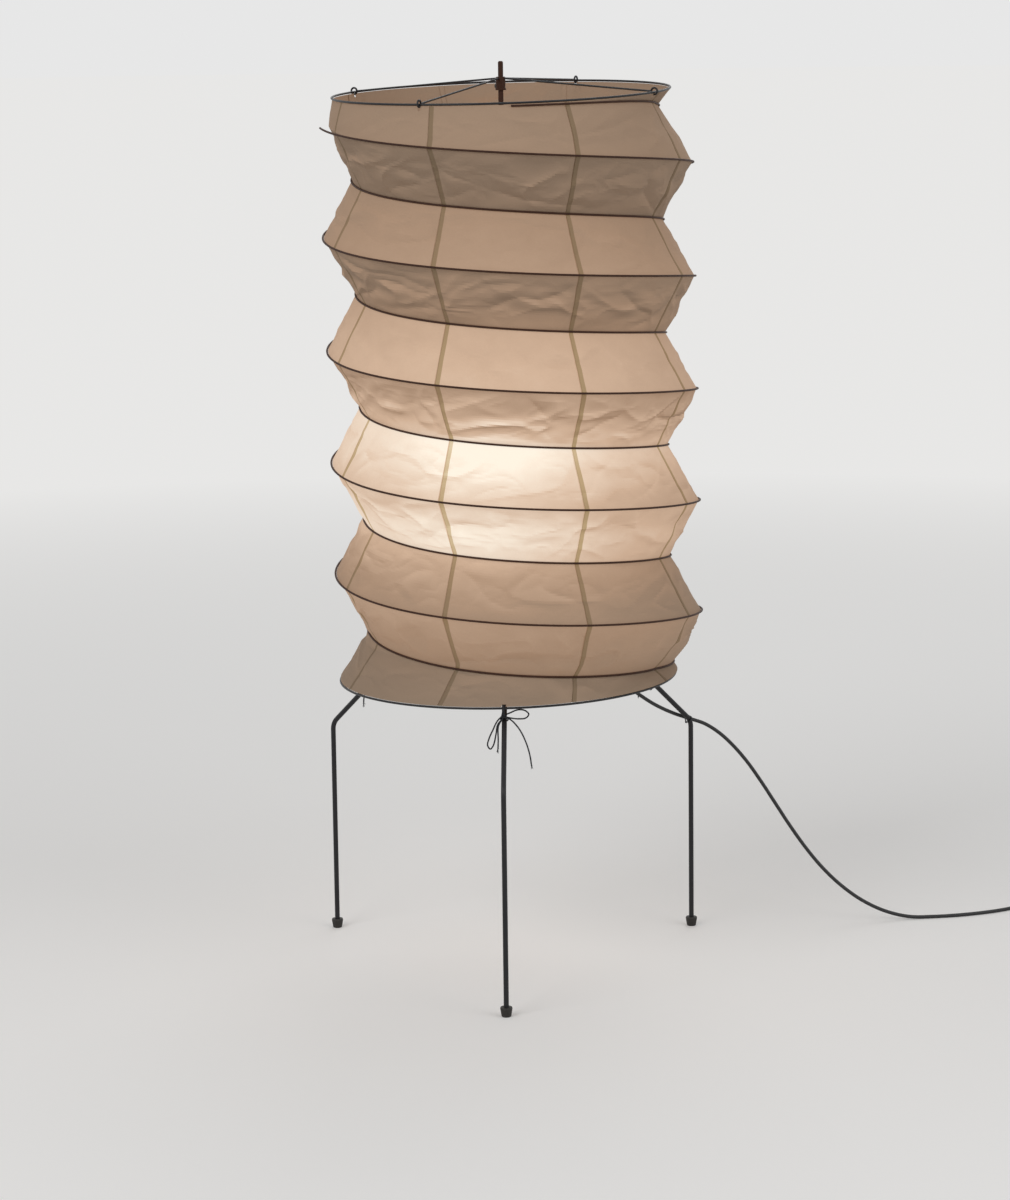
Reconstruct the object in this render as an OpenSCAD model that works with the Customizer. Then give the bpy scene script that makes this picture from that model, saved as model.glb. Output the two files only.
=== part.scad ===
// Floor lamp with a tall folded paper shade on a bent wire tripod.
// Millimetres, +Z up. The origin is on the floor, on the axis of the rod; the front is -Y.
// An azimuth is counted in degrees from the front (-Y) towards the right (+X).

/* [Shade] */
// Radius of the outward folds of the paper
peak_r = 289; // [270:1:300]
// Radius of the inward folds of the paper
valley_r = 241; // [225:1:252]
// Drop of one fold in a full turn round the shade
fold_pitch = 177; // [150:1:200]
// Height of the first inward fold's start above the upper ring
fold_start = 11.5; // [8:0.5:16]
// Thickness of the paper with its paste
paper_t = 0.6; // [0.5:0.1:1]
// Number of paper gores round the shade
gore_count = 8; // [8:1:8]
// Width of the lap where two gores are glued
seam_lap = 11; // [6:1:16]
// How far the folds rise from the middle to the right
fold_rise = 10; // [0:1:16]
// How far the shade hangs to the right of the rod at its upper and lower end
sway_top = 6; // [0:1:12]
sway_low = 21; // [0:1:26]
// Diameter of the wire in the folds
rib_d = 3.2; // [2.4:0.1:4]

/* [Rings] */
// Radius and height of the upper ring of wire
top_ring_r = 263; // [245:1:275]
top_ring_z = 1387; // [1380:1:1400]
// How far the upper ring dips at the front, and at the left
top_dip_front = 9; // [0:1:12]
top_dip_left = 5; // [0:1:8]
// Radius of the lower ring of wire, and its height over the arms that it is tied to
low_ring_r = 268; // [255:1:275]
ring_over_arm = 42.3; // [36:0.1:60]
// How far the lower ring dips at the left
low_dip_left = 5; // [0:1:8]
// Diameter of the wire of both rings
ring_d = 3.5; // [3:0.1:4.5]
// Azimuth of the first spoke, and diameter of the spokes
spoke_turn = -26; // [-40:1:-10]
spoke_d = 3; // [2.5:0.1:3.5]
// Inner radius of the eye at the end of a spoke
eye_hole_r = 3.5; // [3:0.1:4.5]

/* [Stand] */
// Diameter of the legs
leg_d = 8; // [7:0.5:10]
// Distance of the legs from the axis
leg_r = 342; // [320:1:360]
// Height of the corner where a leg turns inward
shoulder_z = 350; // [335:1:365]
// Slope of the arms above that corner
arm_slope = 44.5; // [43:0.5:46]
// Radius of the bend at the corner
bend_r = 25; // [16:1:40]
// Diameter of the upright rod, and its length above the sliding hub
rod_d = 8; // [7:0.5:10]
rod_over = 24; // [10:1:40]
// Foot cups: height, radius at the top and at the floor
foot_h = 15; // [12:1:20]
foot_top_r = 9.5; // [8.5:0.5:12]
foot_low_r = 7.5; // [7:0.5:9]
// Outer radius of the boss that joins arms and rod
boss_r = 15; // [14:0.5:18]

/* [Sliding hub] */
// Radius and height of the hub, and radius of its lower flange
hub_r = 7.3; // [7:0.1:9]
hub_h = 20.6; // [18:0.1:26]
hub_flange_r = 8.3; // [8:0.1:11]
// Height of the hub's lower face above the upper ring
hub_lift = 3; // [2:1:8]
// Clamp screw: diameter, head radius and head height
screw_d = 4; // [3:0.5:5]
screw_head_r = 5.5; // [4:0.5:7]
screw_head_h = 6; // [4:0.5:8]

/* [Lamp holder] */
// Distance of the lamp holder from the rod, towards the back
holder_y = 46; // [42:1:54]
// Outer radius and height of the lamp holder's lower cap and upper skirt
cap_r = 17; // [16.5:0.5:19]
cap_h = 20; // [18:1:26]
skirt_r = 20; // [19:0.5:23]
skirt_h = 30; // [29:1:36]
// Wall of the lamp holder
holder_wall = 2.2; // [1.8:0.1:3]
// Radius and length of the lamp's brass base
base_r = 13; // [12.5:0.1:13.5]
base_h = 26; // [24:0.5:27]
// Radius of the bulb's globe, and its height above the base
globe_r = 30; // [26:0.5:32]
glass_h = 82; // [76:1:90]
// Thickness of the holder's strap
strap_t = 3; // [2:0.5:4]
strap_w = 14; // [12:1:18]

/* [Cord] */
// Diameter of the mains cord and of the tie strings
cord_d = 6; // [5.5:0.1:6.5]
string_d = 2.6; // [2:0.1:3]
// Loops in each layer of the coil, and their step sideways and upwards
coil_loops = 2.5; // [1.5:1:3.5]
coil_step = 6.6; // [6.6:0.1:8]
// Radius of the coil's outermost loop
coil_r = 44; // [42:1:54]
// Length, width and height of the switch on the cord
switch_l = 62; // [56:1:70]
switch_w = 26; // [24:1:30]
switch_h = 18; // [16:1:22]
// Length, width and thickness of the plug's body
plug_l = 32; // [28:1:40]
plug_w = 26; // [24:1:30]
plug_t = 15; // [13:1:18]

/* [Hidden] */
$fn = 48;
// Clearance where a piece turns or slides on another, and where pieces only meet
run_gap = 0.05;
seat_gap = 0.3;
cut = 1;
// How far the lengths of one bent bar stop short of each other inside a knuckle
weld = 0.1;

// ---- points and folds of the shade ----
gore_step = 360 / gore_count;
gore_start = gore_step / 2;
columns_per_gore = 5;
column_step = gore_step / columns_per_gore;
seam_slit = 0.03;
lap_step = 0.25;
lap_angle = seam_lap / peak_r * 180 / PI;
lap_slack = 0.2;
lap_drop = paper_t + seat_gap + lap_slack;
edge_room = ring_d / 2 + seat_gap;
first_fold_dip = 2.5;
// Folds flatten out over these depths as they near a ring
ring_soft = 6;
ring_room = ring_d / 2 + seat_gap + 2.4;
peak_starts = 25;
peak_full = 54;
valley_starts = 4.8;
low_starts = 4.8;
valley_full = 21;
low_peak_full = 40;
low_valley_full = 14;

// Places that the upper ring and the arms fix for the rest
first_fold_z = top_ring_z + fold_start;
boss_z = shoulder_z + leg_r * tan(arm_slope);
function arm_z(r) = boss_z - r * tan(arm_slope);
low_ring_z = arm_z(low_ring_r) + ring_over_arm;

function polar(r, t, z) = [r * sin(t), -r * cos(t), z];
function clamp01(x) = max(0, min(1, x));
function mix(a, b, w) = a + (b - a) * w;
function unit(v) = v / norm(v);

function top_z(t) = top_ring_z + top_dip_left * sin(t) - top_dip_front * cos(t);
function low_z(t) = low_ring_z + low_dip_left * sin(t);

// Depth below a ring, never less than the room its wire needs
function soft(d) = ring_room + ring_soft * ln(1 + exp((d - ring_room) / ring_soft));

// Fold k of the double spiral at azimuth t: even k are inward folds, odd k outward ones
function fold_line(k, t) =
    first_fold_z - fold_pitch * (k / 2 + t / 360) + fold_rise * sin(t) - first_fold_dip * cos(t);
function fold_z(k, t) =
    let (below_top = top_z(t) - soft(top_z(t) - fold_line(k, t)))
    low_z(t) + soft(below_top - low_z(t));
function is_peak(k) = abs(k) % 2 == 1;
// A fold that runs into a ring grows out of the flat paper between the ring and the next fold
function flat_r(end, ring_r, k, t, z) =
    let (next_z = fold_z(k, t), next_r = is_peak(k) ? peak_r : valley_r)
    mix(ring_r, next_r, clamp01((z - end) / (next_z - end)));
function fold_r(k, t) =
    let (z = fold_z(k, t),
         down = top_z(t) - z,
         up = z - low_z(t),
         plain = down < up ? flat_r(top_z(t) - edge_room, top_ring_r, k + 1, t, z)
                           : flat_r(low_z(t) + edge_room, low_ring_r, k - 1, t, z),
         near_top = is_peak(k) ? (down - peak_starts) / (peak_full - peak_starts)
                               : (down - valley_starts) / (valley_full - valley_starts),
         near_low = is_peak(k) ? (up - low_starts) / low_peak_full
                               : (up - low_starts) / low_valley_full)
    mix(plain, is_peak(k) ? peak_r : valley_r, clamp01(near_top) * clamp01(near_low));

// The shade hangs a little beside the rod, and meets both rings on the axis
sway_edge = 60;
function sway(z) =
    mix(sway_low, sway_top, clamp01((z - low_ring_z) / (top_ring_z - low_ring_z)))
    * clamp01((top_ring_z - z) / sway_edge) * clamp01((z - low_ring_z) / sway_edge);
function shade_point(r, t, z) = polar(r, t, z) + [sway(z), 0, 0];

// Middle of a wire that lies against the outside of fold k at azimuth t: on an outward fold it
// touches the edge, and in an inward one it touches both sides
function wire_seat(k, t) =
    let (at = fold_point(k, t),
         over = unit((fold_line(k - 1, t) < top_z(t) ? fold_point(k - 1, t) : top_edge(t)) - at),
         under = unit((fold_line(k + 1, t) > low_z(t) ? fold_point(k + 1, t) : low_edge(t)) - at),
         half_angle = acos(over * under) / 2,
         room = rib_d / 2 + seat_gap)
    is_peak(k) ? at - room * unit(over + under)
               : at + room / sin(half_angle) * unit(over + under);

// Folds that cross the gore between azimuths a and b
function gore_folds(a, b) =
    [for (k = [-3 : 16])
        let (ends = [for (t = [a, (a + b) / 2, b]) fold_line(k, t)])
        if (min(ends) < top_z(a) + 14 && max(ends) > low_z(a) - 14) k];
// Radius and height of the paper down one upright line of it
function top_edge(t) = [top_ring_r, top_z(t) - edge_room];
function low_edge(t) = [low_ring_r, low_z(t) + edge_room];
function fold_point(k, t) = [fold_r(k, t), fold_z(k, t)];
function paper_line(folds, t) =
    concat([top_edge(t)], [for (k = folds) fold_point(k, t)], [low_edge(t)]);

// ---- tubes along points ----
function tangents(p) =
    [for (i = [0 : len(p) - 1]) unit(p[min(i + 1, len(p) - 1)] - p[max(i - 1, 0)])];
function square_to(n, t) = unit(n - (n * t) * t);
// Carries one side direction along the path without twisting it
function sides_along(t, n0) =
    [for (i = 0, n = square_to(n0, t[0]); i < len(t);
          i = i + 1, n = i < len(t) ? square_to(n, t[i]) : n) n];
function tube_points(p, d, sides, n0) =
    let (t = tangents(p), n = sides_along(t, n0))
    [for (i = [0 : len(p) - 1]) for (a = [0 : sides - 1])
        let (angle = (a + 0.5) * 360 / sides)
        p[i] + d / 2 * (cos(angle) * n[i] + sin(angle) * cross(t[i], n[i]))];
function tube_faces(rings, sides) =
    concat([[for (a = [0 : sides - 1]) a]],
           [for (i = [0 : rings - 2]) for (a = [0 : sides - 1])
               let (b = (a + 1) % sides, low = i * sides, high = low + sides)
               each [[low + a, high + a, high + b], [low + a, high + b, low + b]]],
           [[for (a = [sides - 1 : -1 : 0]) (rings - 1) * sides + a]]);
module tube(p, d, sides, n0) {
    polyhedron(tube_points(p, d, sides, n0), tube_faces(len(p), sides), convexity = 10);
}
// Straight round bar from a to b
module bar(a, b, d) {
    v = b - a;
    translate(a)
        rotate([0, acos(v[2] / norm(v)), atan2(v[1], v[0])])
            cylinder(h = norm(v), d = d);
}
// Turns a piece drawn with its outside at -Y to an azimuth
module at_azimuth(t) {
    rotate([0, 0, t]) children();
}

// ---- places on the stand ----
leg_turn = [0, 120, 240];
arm_turn = 90 - arm_slope;
bend_drop = bend_r * tan(arm_turn / 2);
arm_end_r = rod_d / 2 + leg_d / 2 * sin(arm_slope) + 2;
boss_top = boss_z + 10;
boss_low = arm_z(boss_r) - leg_d / 2 / cos(arm_slope) - 4;
foot_floor_t = 3;
hub_z = top_ring_z + hub_lift;
rod_top = hub_z + hub_h + rod_over;
spoke_z = hub_z + hub_h - spoke_d / 2 - 1;
screw_z = hub_z + 6;
screw_turn = 199;
spoke_turns = [for (i = [0 : 3]) spoke_turn + 90 * i];
eye_r = eye_hole_r + spoke_d / 2;
eye_lift = eye_hole_r - ring_d / 2 - seat_gap;

// ---- places on the lamp holder ----
strap_z = boss_top + seat_gap;
seat_r = 11;
nipple_r = 5;
cap_z = strap_z + strap_t + run_gap;
skirt_z = cap_z + cap_h;
sleeve_t = 0.8;
sleeve_r = base_r + 0.1 + sleeve_t;
sleeve_z = cap_z + cap_h - 3;
base_z = sleeve_z + 3.5;
glass_z = base_z + base_h;
relief_l = 24;
nut_h = 5;
nut_r = 9;
relief_z = strap_z - nut_h - relief_l;

// ---- tie strings between the lower ring and the arms ----
tie_arm = let (drop = low_ring_z - arm_z(low_ring_r))
    [low_ring_r - drop * sin(arm_slope) * cos(arm_slope),
     arm_z(low_ring_r) + drop * sin(arm_slope) * sin(arm_slope)];
tie_notch_w = string_d + 3.4;

// ---- stand ----
// The lengths of a leg are joined by knuckles a hair thicker than the bar
module leg(t) {
    arm_way = [cos(arm_slope), 0, sin(arm_slope)];
    corner = [-leg_r, 0, shoulder_z];
    knuckle_r = leg_d / 2 + 0.05;
    short_turn = 0.4;
    color("#1a1917")
    at_azimuth(t + 90)
    union() {
        translate([-leg_r, 0, foot_floor_t + run_gap])
            cylinder(h = shoulder_z - bend_drop - foot_floor_t - run_gap - weld, d = leg_d);
        translate(corner - [0, 0, bend_drop]) sphere(r = knuckle_r);
        translate([bend_r - leg_r, 0, shoulder_z - bend_drop])
            mirror([1, 0, 0])
                rotate([90, 0, 0])
                    rotate([0, 0, short_turn / 2])
                        rotate_extrude(angle = arm_turn - short_turn)
                            translate([bend_r, 0])
                                circle(d = leg_d);
        translate(corner + bend_drop * arm_way) sphere(r = knuckle_r);
        bar(corner + (bend_drop + weld) * arm_way, [-arm_end_r, 0, arm_z(arm_end_r)], leg_d);
    }
}

module foot(t) {
    color("#141312")
    translate(polar(leg_r, t, 0))
    rotate_extrude()
        polygon([[0, 0], [foot_low_r - 1, 0], [foot_low_r, 1], [foot_top_r, foot_h - 2],
                 [foot_top_r - 0.6, foot_h], [leg_d / 2 + run_gap, foot_h],
                 [leg_d / 2 + run_gap, foot_floor_t], [0, foot_floor_t]]);
}

module arm_boss() {
    color("#191816")
    difference() {
        rotate_extrude()
            polygon([[rod_d / 2 + run_gap, boss_low], [boss_r - 3, boss_low], [boss_r, boss_low + 3],
                     [boss_r, boss_top - 6], [boss_r - 5, boss_top],
                     [rod_d / 2 + run_gap, boss_top]]);
        for (t = leg_turn)
            at_azimuth(t + 90)
                bar([-arm_end_r, 0, arm_z(arm_end_r)], [-2 * boss_r, 0, arm_z(2 * boss_r)],
                    leg_d + 2 * run_gap);
    }
}

module centre_rod() {
    color("#2a1d15")
    translate([0, 0, boss_low])
        rotate_extrude()
            polygon([[0, 0], [rod_d / 2, 0], [rod_d / 2, rod_top - boss_low - 1.5],
                     [rod_d / 2 - 1.5, rod_top - boss_low], [0, rod_top - boss_low]]);
}

// ---- lamp holder, behind the rod ----
module holder_strap() {
    clamp_r = rod_d / 2 + 4;
    clamp_h = 12;
    color("#1c1b19")
    difference() {
        union() {
            translate([0, 0, strap_z]) cylinder(h = clamp_h, r = clamp_r);
            translate([-strap_w / 2, 0, strap_z]) cube([strap_w, holder_y, strap_t]);
            translate([0, holder_y, strap_z]) cylinder(h = strap_t, r = seat_r);
        }
        translate([0, 0, strap_z - cut])
            cylinder(h = clamp_h + 2 * cut, d = rod_d + 2 * run_gap);
        translate([0, holder_y, strap_z - cut])
            cylinder(h = strap_t + 2 * cut, r = nipple_r + run_gap);
    }
}

// Hollow stem through the strap, which the cord passes
module holder_nipple() {
    bore_r = cord_d / 2 + 0.2;
    low = strap_z - nut_h;
    color("#b99a4c")
    translate([0, holder_y, low])
    difference() {
        cylinder(h = nut_h + strap_t + 8, r = nipple_r);
        translate([0, 0, -cut]) cylinder(h = nut_h + strap_t + 8 + 2 * cut, r = bore_r);
    }
}

module holder_nut() {
    color("#a98b45")
    translate([0, holder_y, strap_z - nut_h])
    difference() {
        cylinder(h = nut_h - run_gap, r = nut_r, $fn = 6);
        translate([0, 0, -cut]) cylinder(h = nut_h + 2 * cut, r = nipple_r + run_gap);
    }
}

// Tapered sleeve that guards the cord below the nut
module strain_relief() {
    color("#161616")
    translate([0, holder_y, relief_z])
    difference() {
        rotate_extrude()
            polygon([[cord_d / 2 + 0.1, 0], [cord_d / 2 + 1.2, 0], [nipple_r, relief_l - 5],
                     [nipple_r + 1.6, relief_l - 4], [nipple_r + 1.6, relief_l - run_gap],
                     [cord_d / 2 + 0.1, relief_l - run_gap]]);
        for (i = [0 : 3])
            translate([0, 0, 3 + 4 * i])
                rotate_extrude()
                    translate([nipple_r + 0.4, 0]) square([2.4, 1.6]);
    }
}

module holder_cap() {
    color("#1d1c1b")
    translate([0, holder_y, cap_z])
    rotate_extrude()
        polygon([[nipple_r + run_gap, 0], [cap_r - 4, 0], [cap_r, 5], [cap_r, cap_h],
                 [cap_r - holder_wall, cap_h], [cap_r - holder_wall, 7],
                 [cap_r - holder_wall - 4, 3], [nipple_r + run_gap, 3]]);
}

module holder_skirt() {
    lip = 6;
    color("#1d1c1b")
    translate([0, holder_y, skirt_z])
    difference() {
        rotate_extrude()
            polygon([[cap_r - holder_wall, run_gap], [cap_r, run_gap], [skirt_r, lip],
                     [skirt_r, skirt_h - 1], [skirt_r - 1, skirt_h],
                     [skirt_r - holder_wall, skirt_h], [skirt_r - holder_wall, lip + 1],
                     [cap_r - holder_wall, lip - 1]]);
        for (i = [0 : 2])
            translate([0, 0, lip + 5 + 6 * i])
                rotate_extrude()
                    translate([skirt_r - 0.8, 0]) square([2, 2.4]);
    }
}

// Ceramic block in the cap that carries the sleeve and the spring contact
module holder_insulator() {
    color("#e9e4d8")
    translate([0, holder_y, cap_z + 11])
    difference() {
        cylinder(h = sleeve_z - cap_z - 11 - run_gap, r = cap_r - holder_wall - 0.1);
        translate([0, 0, -cut]) cylinder(h = cap_h, r = 2 + run_gap);
    }
}

module holder_sleeve() {
    color("#c2a14f")
    translate([0, holder_y, sleeve_z])
    difference() {
        cylinder(h = base_h - 2, r = sleeve_r);
        translate([0, 0, 1]) cylinder(h = base_h, r = sleeve_r - sleeve_t);
        translate([0, 0, -cut]) cylinder(h = 3 * cut, r = 6);
    }
}

module holder_contact() {
    color("#c9a955")
    translate([0, holder_y, cap_z + 8])
    union() {
        cylinder(h = sleeve_z - cap_z - 7, r = 2);
        translate([0, 0, sleeve_z - cap_z - 7]) cylinder(h = 1, r = 4);
        cylinder(h = 2.8, r = 4);
    }
}

// ---- lamp ----
module lamp_base() {
    threads = 4;
    pitch = 3.6;
    color("#c8c4b8")
    translate([0, holder_y, base_z])
    rotate_extrude()
        polygon(concat([[3.4, 0], [base_r - 5, 0], [base_r - 1.4, 5]],
                       [for (i = [0 : threads - 1]) each
                           [[base_r, 5 + pitch * (i + 0.25)], [base_r, 5 + pitch * (i + 0.45)],
                            [base_r - 1.4, 5 + pitch * (i + 0.95)]]],
                       [[base_r - 0.6, base_h], [3.4, base_h]]));
}

module lamp_contact() {
    color("#8a8f94")
    translate([0, holder_y, base_z - 1])
        cylinder(h = 6, r = 3.2);
}

module lamp_glass() {
    neck_r = base_r + 0.6;
    globe_z = glass_h - globe_r;
    neck_h = 12;
    steps = 10;
    low_angle = 52;
    color("#fff3d8")
    translate([0, holder_y, glass_z + run_gap])
    rotate_extrude()
        polygon(concat([[0, 0], [neck_r, 0], [neck_r + 0.4, neck_h]],
                       [for (i = [0 : steps])
                           let (a = mix(-low_angle, 90, i / steps))
                           [i == steps ? 0 : globe_r * cos(a), globe_z + globe_r * sin(a)]]));
}

// ---- frame that carries the top of the shade ----
function eye_centre(t) = polar(top_ring_r, t, top_z(t) + eye_lift);
module spoke(t, grow = 0) {
    inner = polar(rod_d / 2 + 1.4, t, spoke_z);
    near_eye = polar(top_ring_r - eye_r, t, eye_centre(t)[2]);
    bar(inner, near_eye, spoke_d + grow);
}
module eye_spoke(t) {
    color("#171614")
    union() {
        spoke(t);
        translate(eye_centre(t))
            at_azimuth(t)
                rotate([0, 90, 0])
                    rotate_extrude()
                        translate([eye_r, 0]) circle(d = spoke_d);
    }
}

module sliding_hub() {
    color("#2b1e17")
    difference() {
        translate([0, 0, hub_z])
            rotate_extrude()
                polygon([[rod_d / 2 + run_gap, 0], [hub_flange_r, 0], [hub_flange_r, 2.6],
                         [hub_r, 3.4], [hub_r, hub_h - 1], [hub_r - 1, hub_h],
                         [rod_d / 2 + run_gap, hub_h]]);
        for (t = spoke_turns) spoke(t, 2 * run_gap);
        at_azimuth(screw_turn)
            translate([0, 0, screw_z])
                rotate([90, 0, 0]) cylinder(h = 2 * hub_r, d = screw_d + 2 * run_gap);
    }
}

// Thumb screw that clamps the hub on the rod
module clamp_screw() {
    tip = rod_d / 2 + 0.1;
    shank = hub_flange_r + 1.5 - tip;
    ridges = 16;
    color("#9a8a5a")
    at_azimuth(screw_turn)
    translate([0, -tip, screw_z])
    rotate([90, 0, 0])
    union() {
        cylinder(h = shank, d = screw_d);
        translate([0, 0, shank])
            difference() {
                cylinder(h = screw_head_h, r = screw_head_r);
                for (i = [0 : ridges - 1])
                    rotate([0, 0, i * 360 / ridges])
                        translate([screw_head_r + 0.25, 0, -cut])
                            cylinder(h = screw_head_h + 2 * cut, r = 0.7, $fn = 16);
            }
    }
}

// Ring of wire whose plane dips to the left and to the front
module wire_ring(r, z, dip_left, dip_front) {
    translate([0, 0, z])
        rotate([atan(dip_front / r), -atan(dip_left / r), 0])
            rotate_extrude($fn = 120)
                translate([r, 0]) circle(d = ring_d);
}
module top_ring() {
    color("#1b1a18") wire_ring(top_ring_r, top_ring_z, top_dip_left, top_dip_front);
}
module low_ring() {
    color("#1b1a18") wire_ring(low_ring_r, low_ring_z, low_dip_left, 0);
}

// ---- folded paper ----
// Points of the paper down azimuth t, set inward by depth. Past the seam at azimuth b the lap
// keeps to the flat between b and the neighbour's next column, which it is glued to.
function column_points(folds, b, t, depth) =
    t <= b ? [for (q = paper_line(folds, t)) shade_point(q[0] - depth, t, q[1])]
    : let (near = paper_line(folds, b), far = paper_line(folds, b + column_step),
           w = (t - b) / column_step)
      [for (i = [0 : len(near) - 1])
          mix(shade_point(near[i][0] - depth, b, near[i][1]),
              shade_point(far[i][0] - depth, b + column_step, far[i][1]), w)];

// Space that a tie string needs where it goes over the lower ring
module tie_notch(t) {
    at_azimuth(t)
        translate([-tie_notch_w / 2, -low_ring_r - 6, low_z(t) - 4])
            cube([tie_notch_w, 12, 4 + ring_d / 2 + string_d + 2 * seat_gap]);
}

// Slot in the upper edge of the paper for the eye of a spoke
module eye_notch(t) {
    at_azimuth(t)
        translate([-spoke_d / 2 - seat_gap, -top_ring_r - eye_r - spoke_d, top_z(t) - ring_d])
            translate([0, 0, eye_lift - eye_r - spoke_d / 2 - seat_gap + ring_d])
                cube([spoke_d + 2 * seat_gap, 2 * eye_r + 2 * spoke_d, eye_r + spoke_d]);
}

module gore(i) {
    a = gore_start + i * gore_step;
    b = a + gore_step;
    folds = gore_folds(a, b);
    // Each column is an azimuth and how far the paper lies inward there
    columns = concat([[a + seam_slit, 0]],
                     [for (c = [1 : columns_per_gore - 1]) [a + c * column_step, 0]],
                     [[b - lap_step, 0], [b - seam_slit, lap_drop], [b + lap_angle, lap_drop]]);
    rows = len(folds) + 2;
    count = len(columns);
    outer = [for (c = columns) each column_points(folds, b, c[0], c[1])];
    inner = [for (c = columns) each column_points(folds, b, c[0], c[1] + paper_t)];
    half = count * rows;
    skin = [for (c = [0 : count - 2]) for (r = [0 : rows - 2])
               let (p = c * rows + r, q = p + rows)
               each [[p, q, q + 1], [p, q + 1, p + 1],
                     [half + p, half + q + 1, half + q], [half + p, half + p + 1, half + q + 1]]];
    sides = [for (r = [0 : rows - 2]) let (p = r, q = (count - 1) * rows + r)
                each [[p, p + 1, half + p + 1], [p, half + p + 1, half + p],
                      [q, half + q + 1, q + 1], [q, half + q, half + q + 1]]];
    rims = [for (c = [0 : count - 2]) let (p = c * rows, q = p + rows, e = p + rows - 1, f = e + rows)
               each [[p, half + q, q], [p, half + p, half + q],
                     [e, f, half + f], [e, half + f, half + e]]];
    notches = [for (t = leg_turn) for (turn = [t, t + 360]) if (turn > a && turn < b) turn];
    eyes = [for (t = spoke_turns) for (turn = [t, t + 360]) if (turn > a && turn < b) turn];
    color("#f4e8d4")
    difference() {
        polyhedron(concat(outer, inner), concat(skin, sides, rims), convexity = 10);
        for (t = notches) tie_notch(t);
        for (t = eyes) eye_notch(t);
    }
}

// ---- wires in the folds: two spirals, one outward and one inward ----
rib_sides = 6;
peak_low = 12;
valley_low = -8;
function rib_steps(k, first, low) =
    floor((360 * ((first_fold_z - low_ring_z - low) / fold_pitch - k / 2) - first) / column_step);
// The outward wire starts free at the left, proud of the paper, and joins its fold here
peak_first = gore_start + 29 * column_step;
peak_joins = 318;
valley_first = gore_start - 2 * column_step;
free_r = peak_r + rib_d / 2 + seat_gap;
function rib_point(k, t) =
    let (seat = t < peak_joins && is_peak(k) ? [free_r, fold_z(k, t)] : wire_seat(k, t))
    shade_point(seat[0], t, seat[1]);
peak_points = [for (i = [0 : rib_steps(-1, peak_first, peak_low)])
    rib_point(-1, peak_first + i * column_step)];
valley_points = [for (i = [0 : rib_steps(0, valley_first, valley_low)])
    rib_point(0, valley_first + i * column_step)];
module peak_rib() {
    color("#2c1c12") tube(peak_points, rib_d, rib_sides, [0, 0, 1]);
}
module valley_rib() {
    color("#2c1c12") tube(valley_points, rib_d, rib_sides, [0, 0, 1]);
}

// ---- tie strings ----
// String over the lower ring and round the back of the arm, from knot to knot,
// in the tie's own frame: the arm and the ring's section lie in the plane x = 0
function tie_ring(t) = [0, -low_ring_r, low_z(t)];
tie_arm_at = [0, -tie_arm[0], tie_arm[1]];
arm_way = [0, cos(arm_slope), sin(arm_slope)];
function tie_knot(t) =
    tie_arm_at + (leg_d / 2 + seat_gap + knot_r) * unit(tie_ring(t) - tie_arm_at);
function lashing(t) =
    let (ring_gap = (ring_d / 2 + string_d / 2 + seat_gap) / cos(18),
         arm_gap = (leg_d / 2 + string_d / 2 + seat_gap) / cos(20),
         away = unit(tie_ring(t) - tie_arm_at),
         knot = tie_knot(t))
    concat([knot + [0, 0, 0], knot + 5 * away - 2 * arm_way],
           [for (a = [0 : 36 : 180]) tie_ring(t) + ring_gap * (sin(a) * away - cos(a) * arm_way)],
           [for (b = [-30 : 40 : 210])
               tie_arm_at + arm_gap * (-cos(b) * [1, 0, 0] - sin(b) * away)],
           [knot + [0.5, 0, 0]]);
// Bow of the string, as offsets from its knot: right loop, left loop and two ends
knot_r = 4.4;
bow_right = [[2, 0, 2], [8, -2, 5], [18, -3, 9], [27, -3, 8], [32, -3, 3], [28, -3, -2],
             [18, -3, -3], [8, -2, -2], [2, 0, -1.5]];
bow_left = [[-2, 0, 1], [-9, -2, -6], [-15, -3, -18], [-20, -3, -29], [-22, -3, -38],
            [-18.5, -3, -43], [-14.5, -3, -38], [-11, -2, -24], [-8.5, -1.5, -11], [-1.5, -0.5, -2.6]];
end_right = [[1, 0, -1], [10, -5, -5], [20, -6, -17], [28, -6, -34], [33, -6, -52], [35, -6, -68]];
end_left = [[-1, -1, -1], [-7.5, -6, -12], [-8, -7, -30], [-8.5, -7, -46]];
string_sides = 6;

module tie(t, size) {
    color("#15181c")
    at_azimuth(t)
    union() {
        tube(lashing(t), string_d, string_sides, [1, 0, 0]);
        translate(tie_knot(t)) {
            sphere(r = knot_r, $fn = 12);
            for (path = [bow_right, bow_left, end_right, end_left])
                tube([for (p = path) norm(p) < knot_r ? p : [p[0] * size, p[1] - 1, p[2] * size]],
                     string_d, string_sides, [0, 1, 0]);
        }
    }
}

// ---- mains cord: points chosen along its route ----
inner_route = [[0, 46, 689], [0, 46, 664], [0, 46, 642], [4, 48, 622], [13, 52, 603], [29, 59, 581],
    [55, 71, 551], [87, 85, 517], [123, 101, 480], [160, 118, 444], [198, 135, 411],
    [235, 152, 382], [266, 166, 364], [293, 178, 352]];
outer_route = [[293, 178, 352], [320, 190, 340], [344, 197, 323], [366, 199, 302], [390, 202, 273],
    [414, 203, 238], [438, 203, 200], [463, 201, 161], [489, 199, 124], [517, 197, 90],
    [548, 196, 60], [582, 196, 35], [620, 197, 16], [661, 200, 5], [703, 206, 3], [744, 214, 3],
    [783, 227, 3], [819, 244, 3], [851, 266, 3], [878, 292, 3], [898, 317, 4.5],
    [909, 334, 6.5], [915, 348, 7], [915, 356, 7]];
link_route = [[915, 418, 7], [915, 426, 7], [915, 436, 4], [915, 444, 3], [915, 450, 3]];
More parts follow.
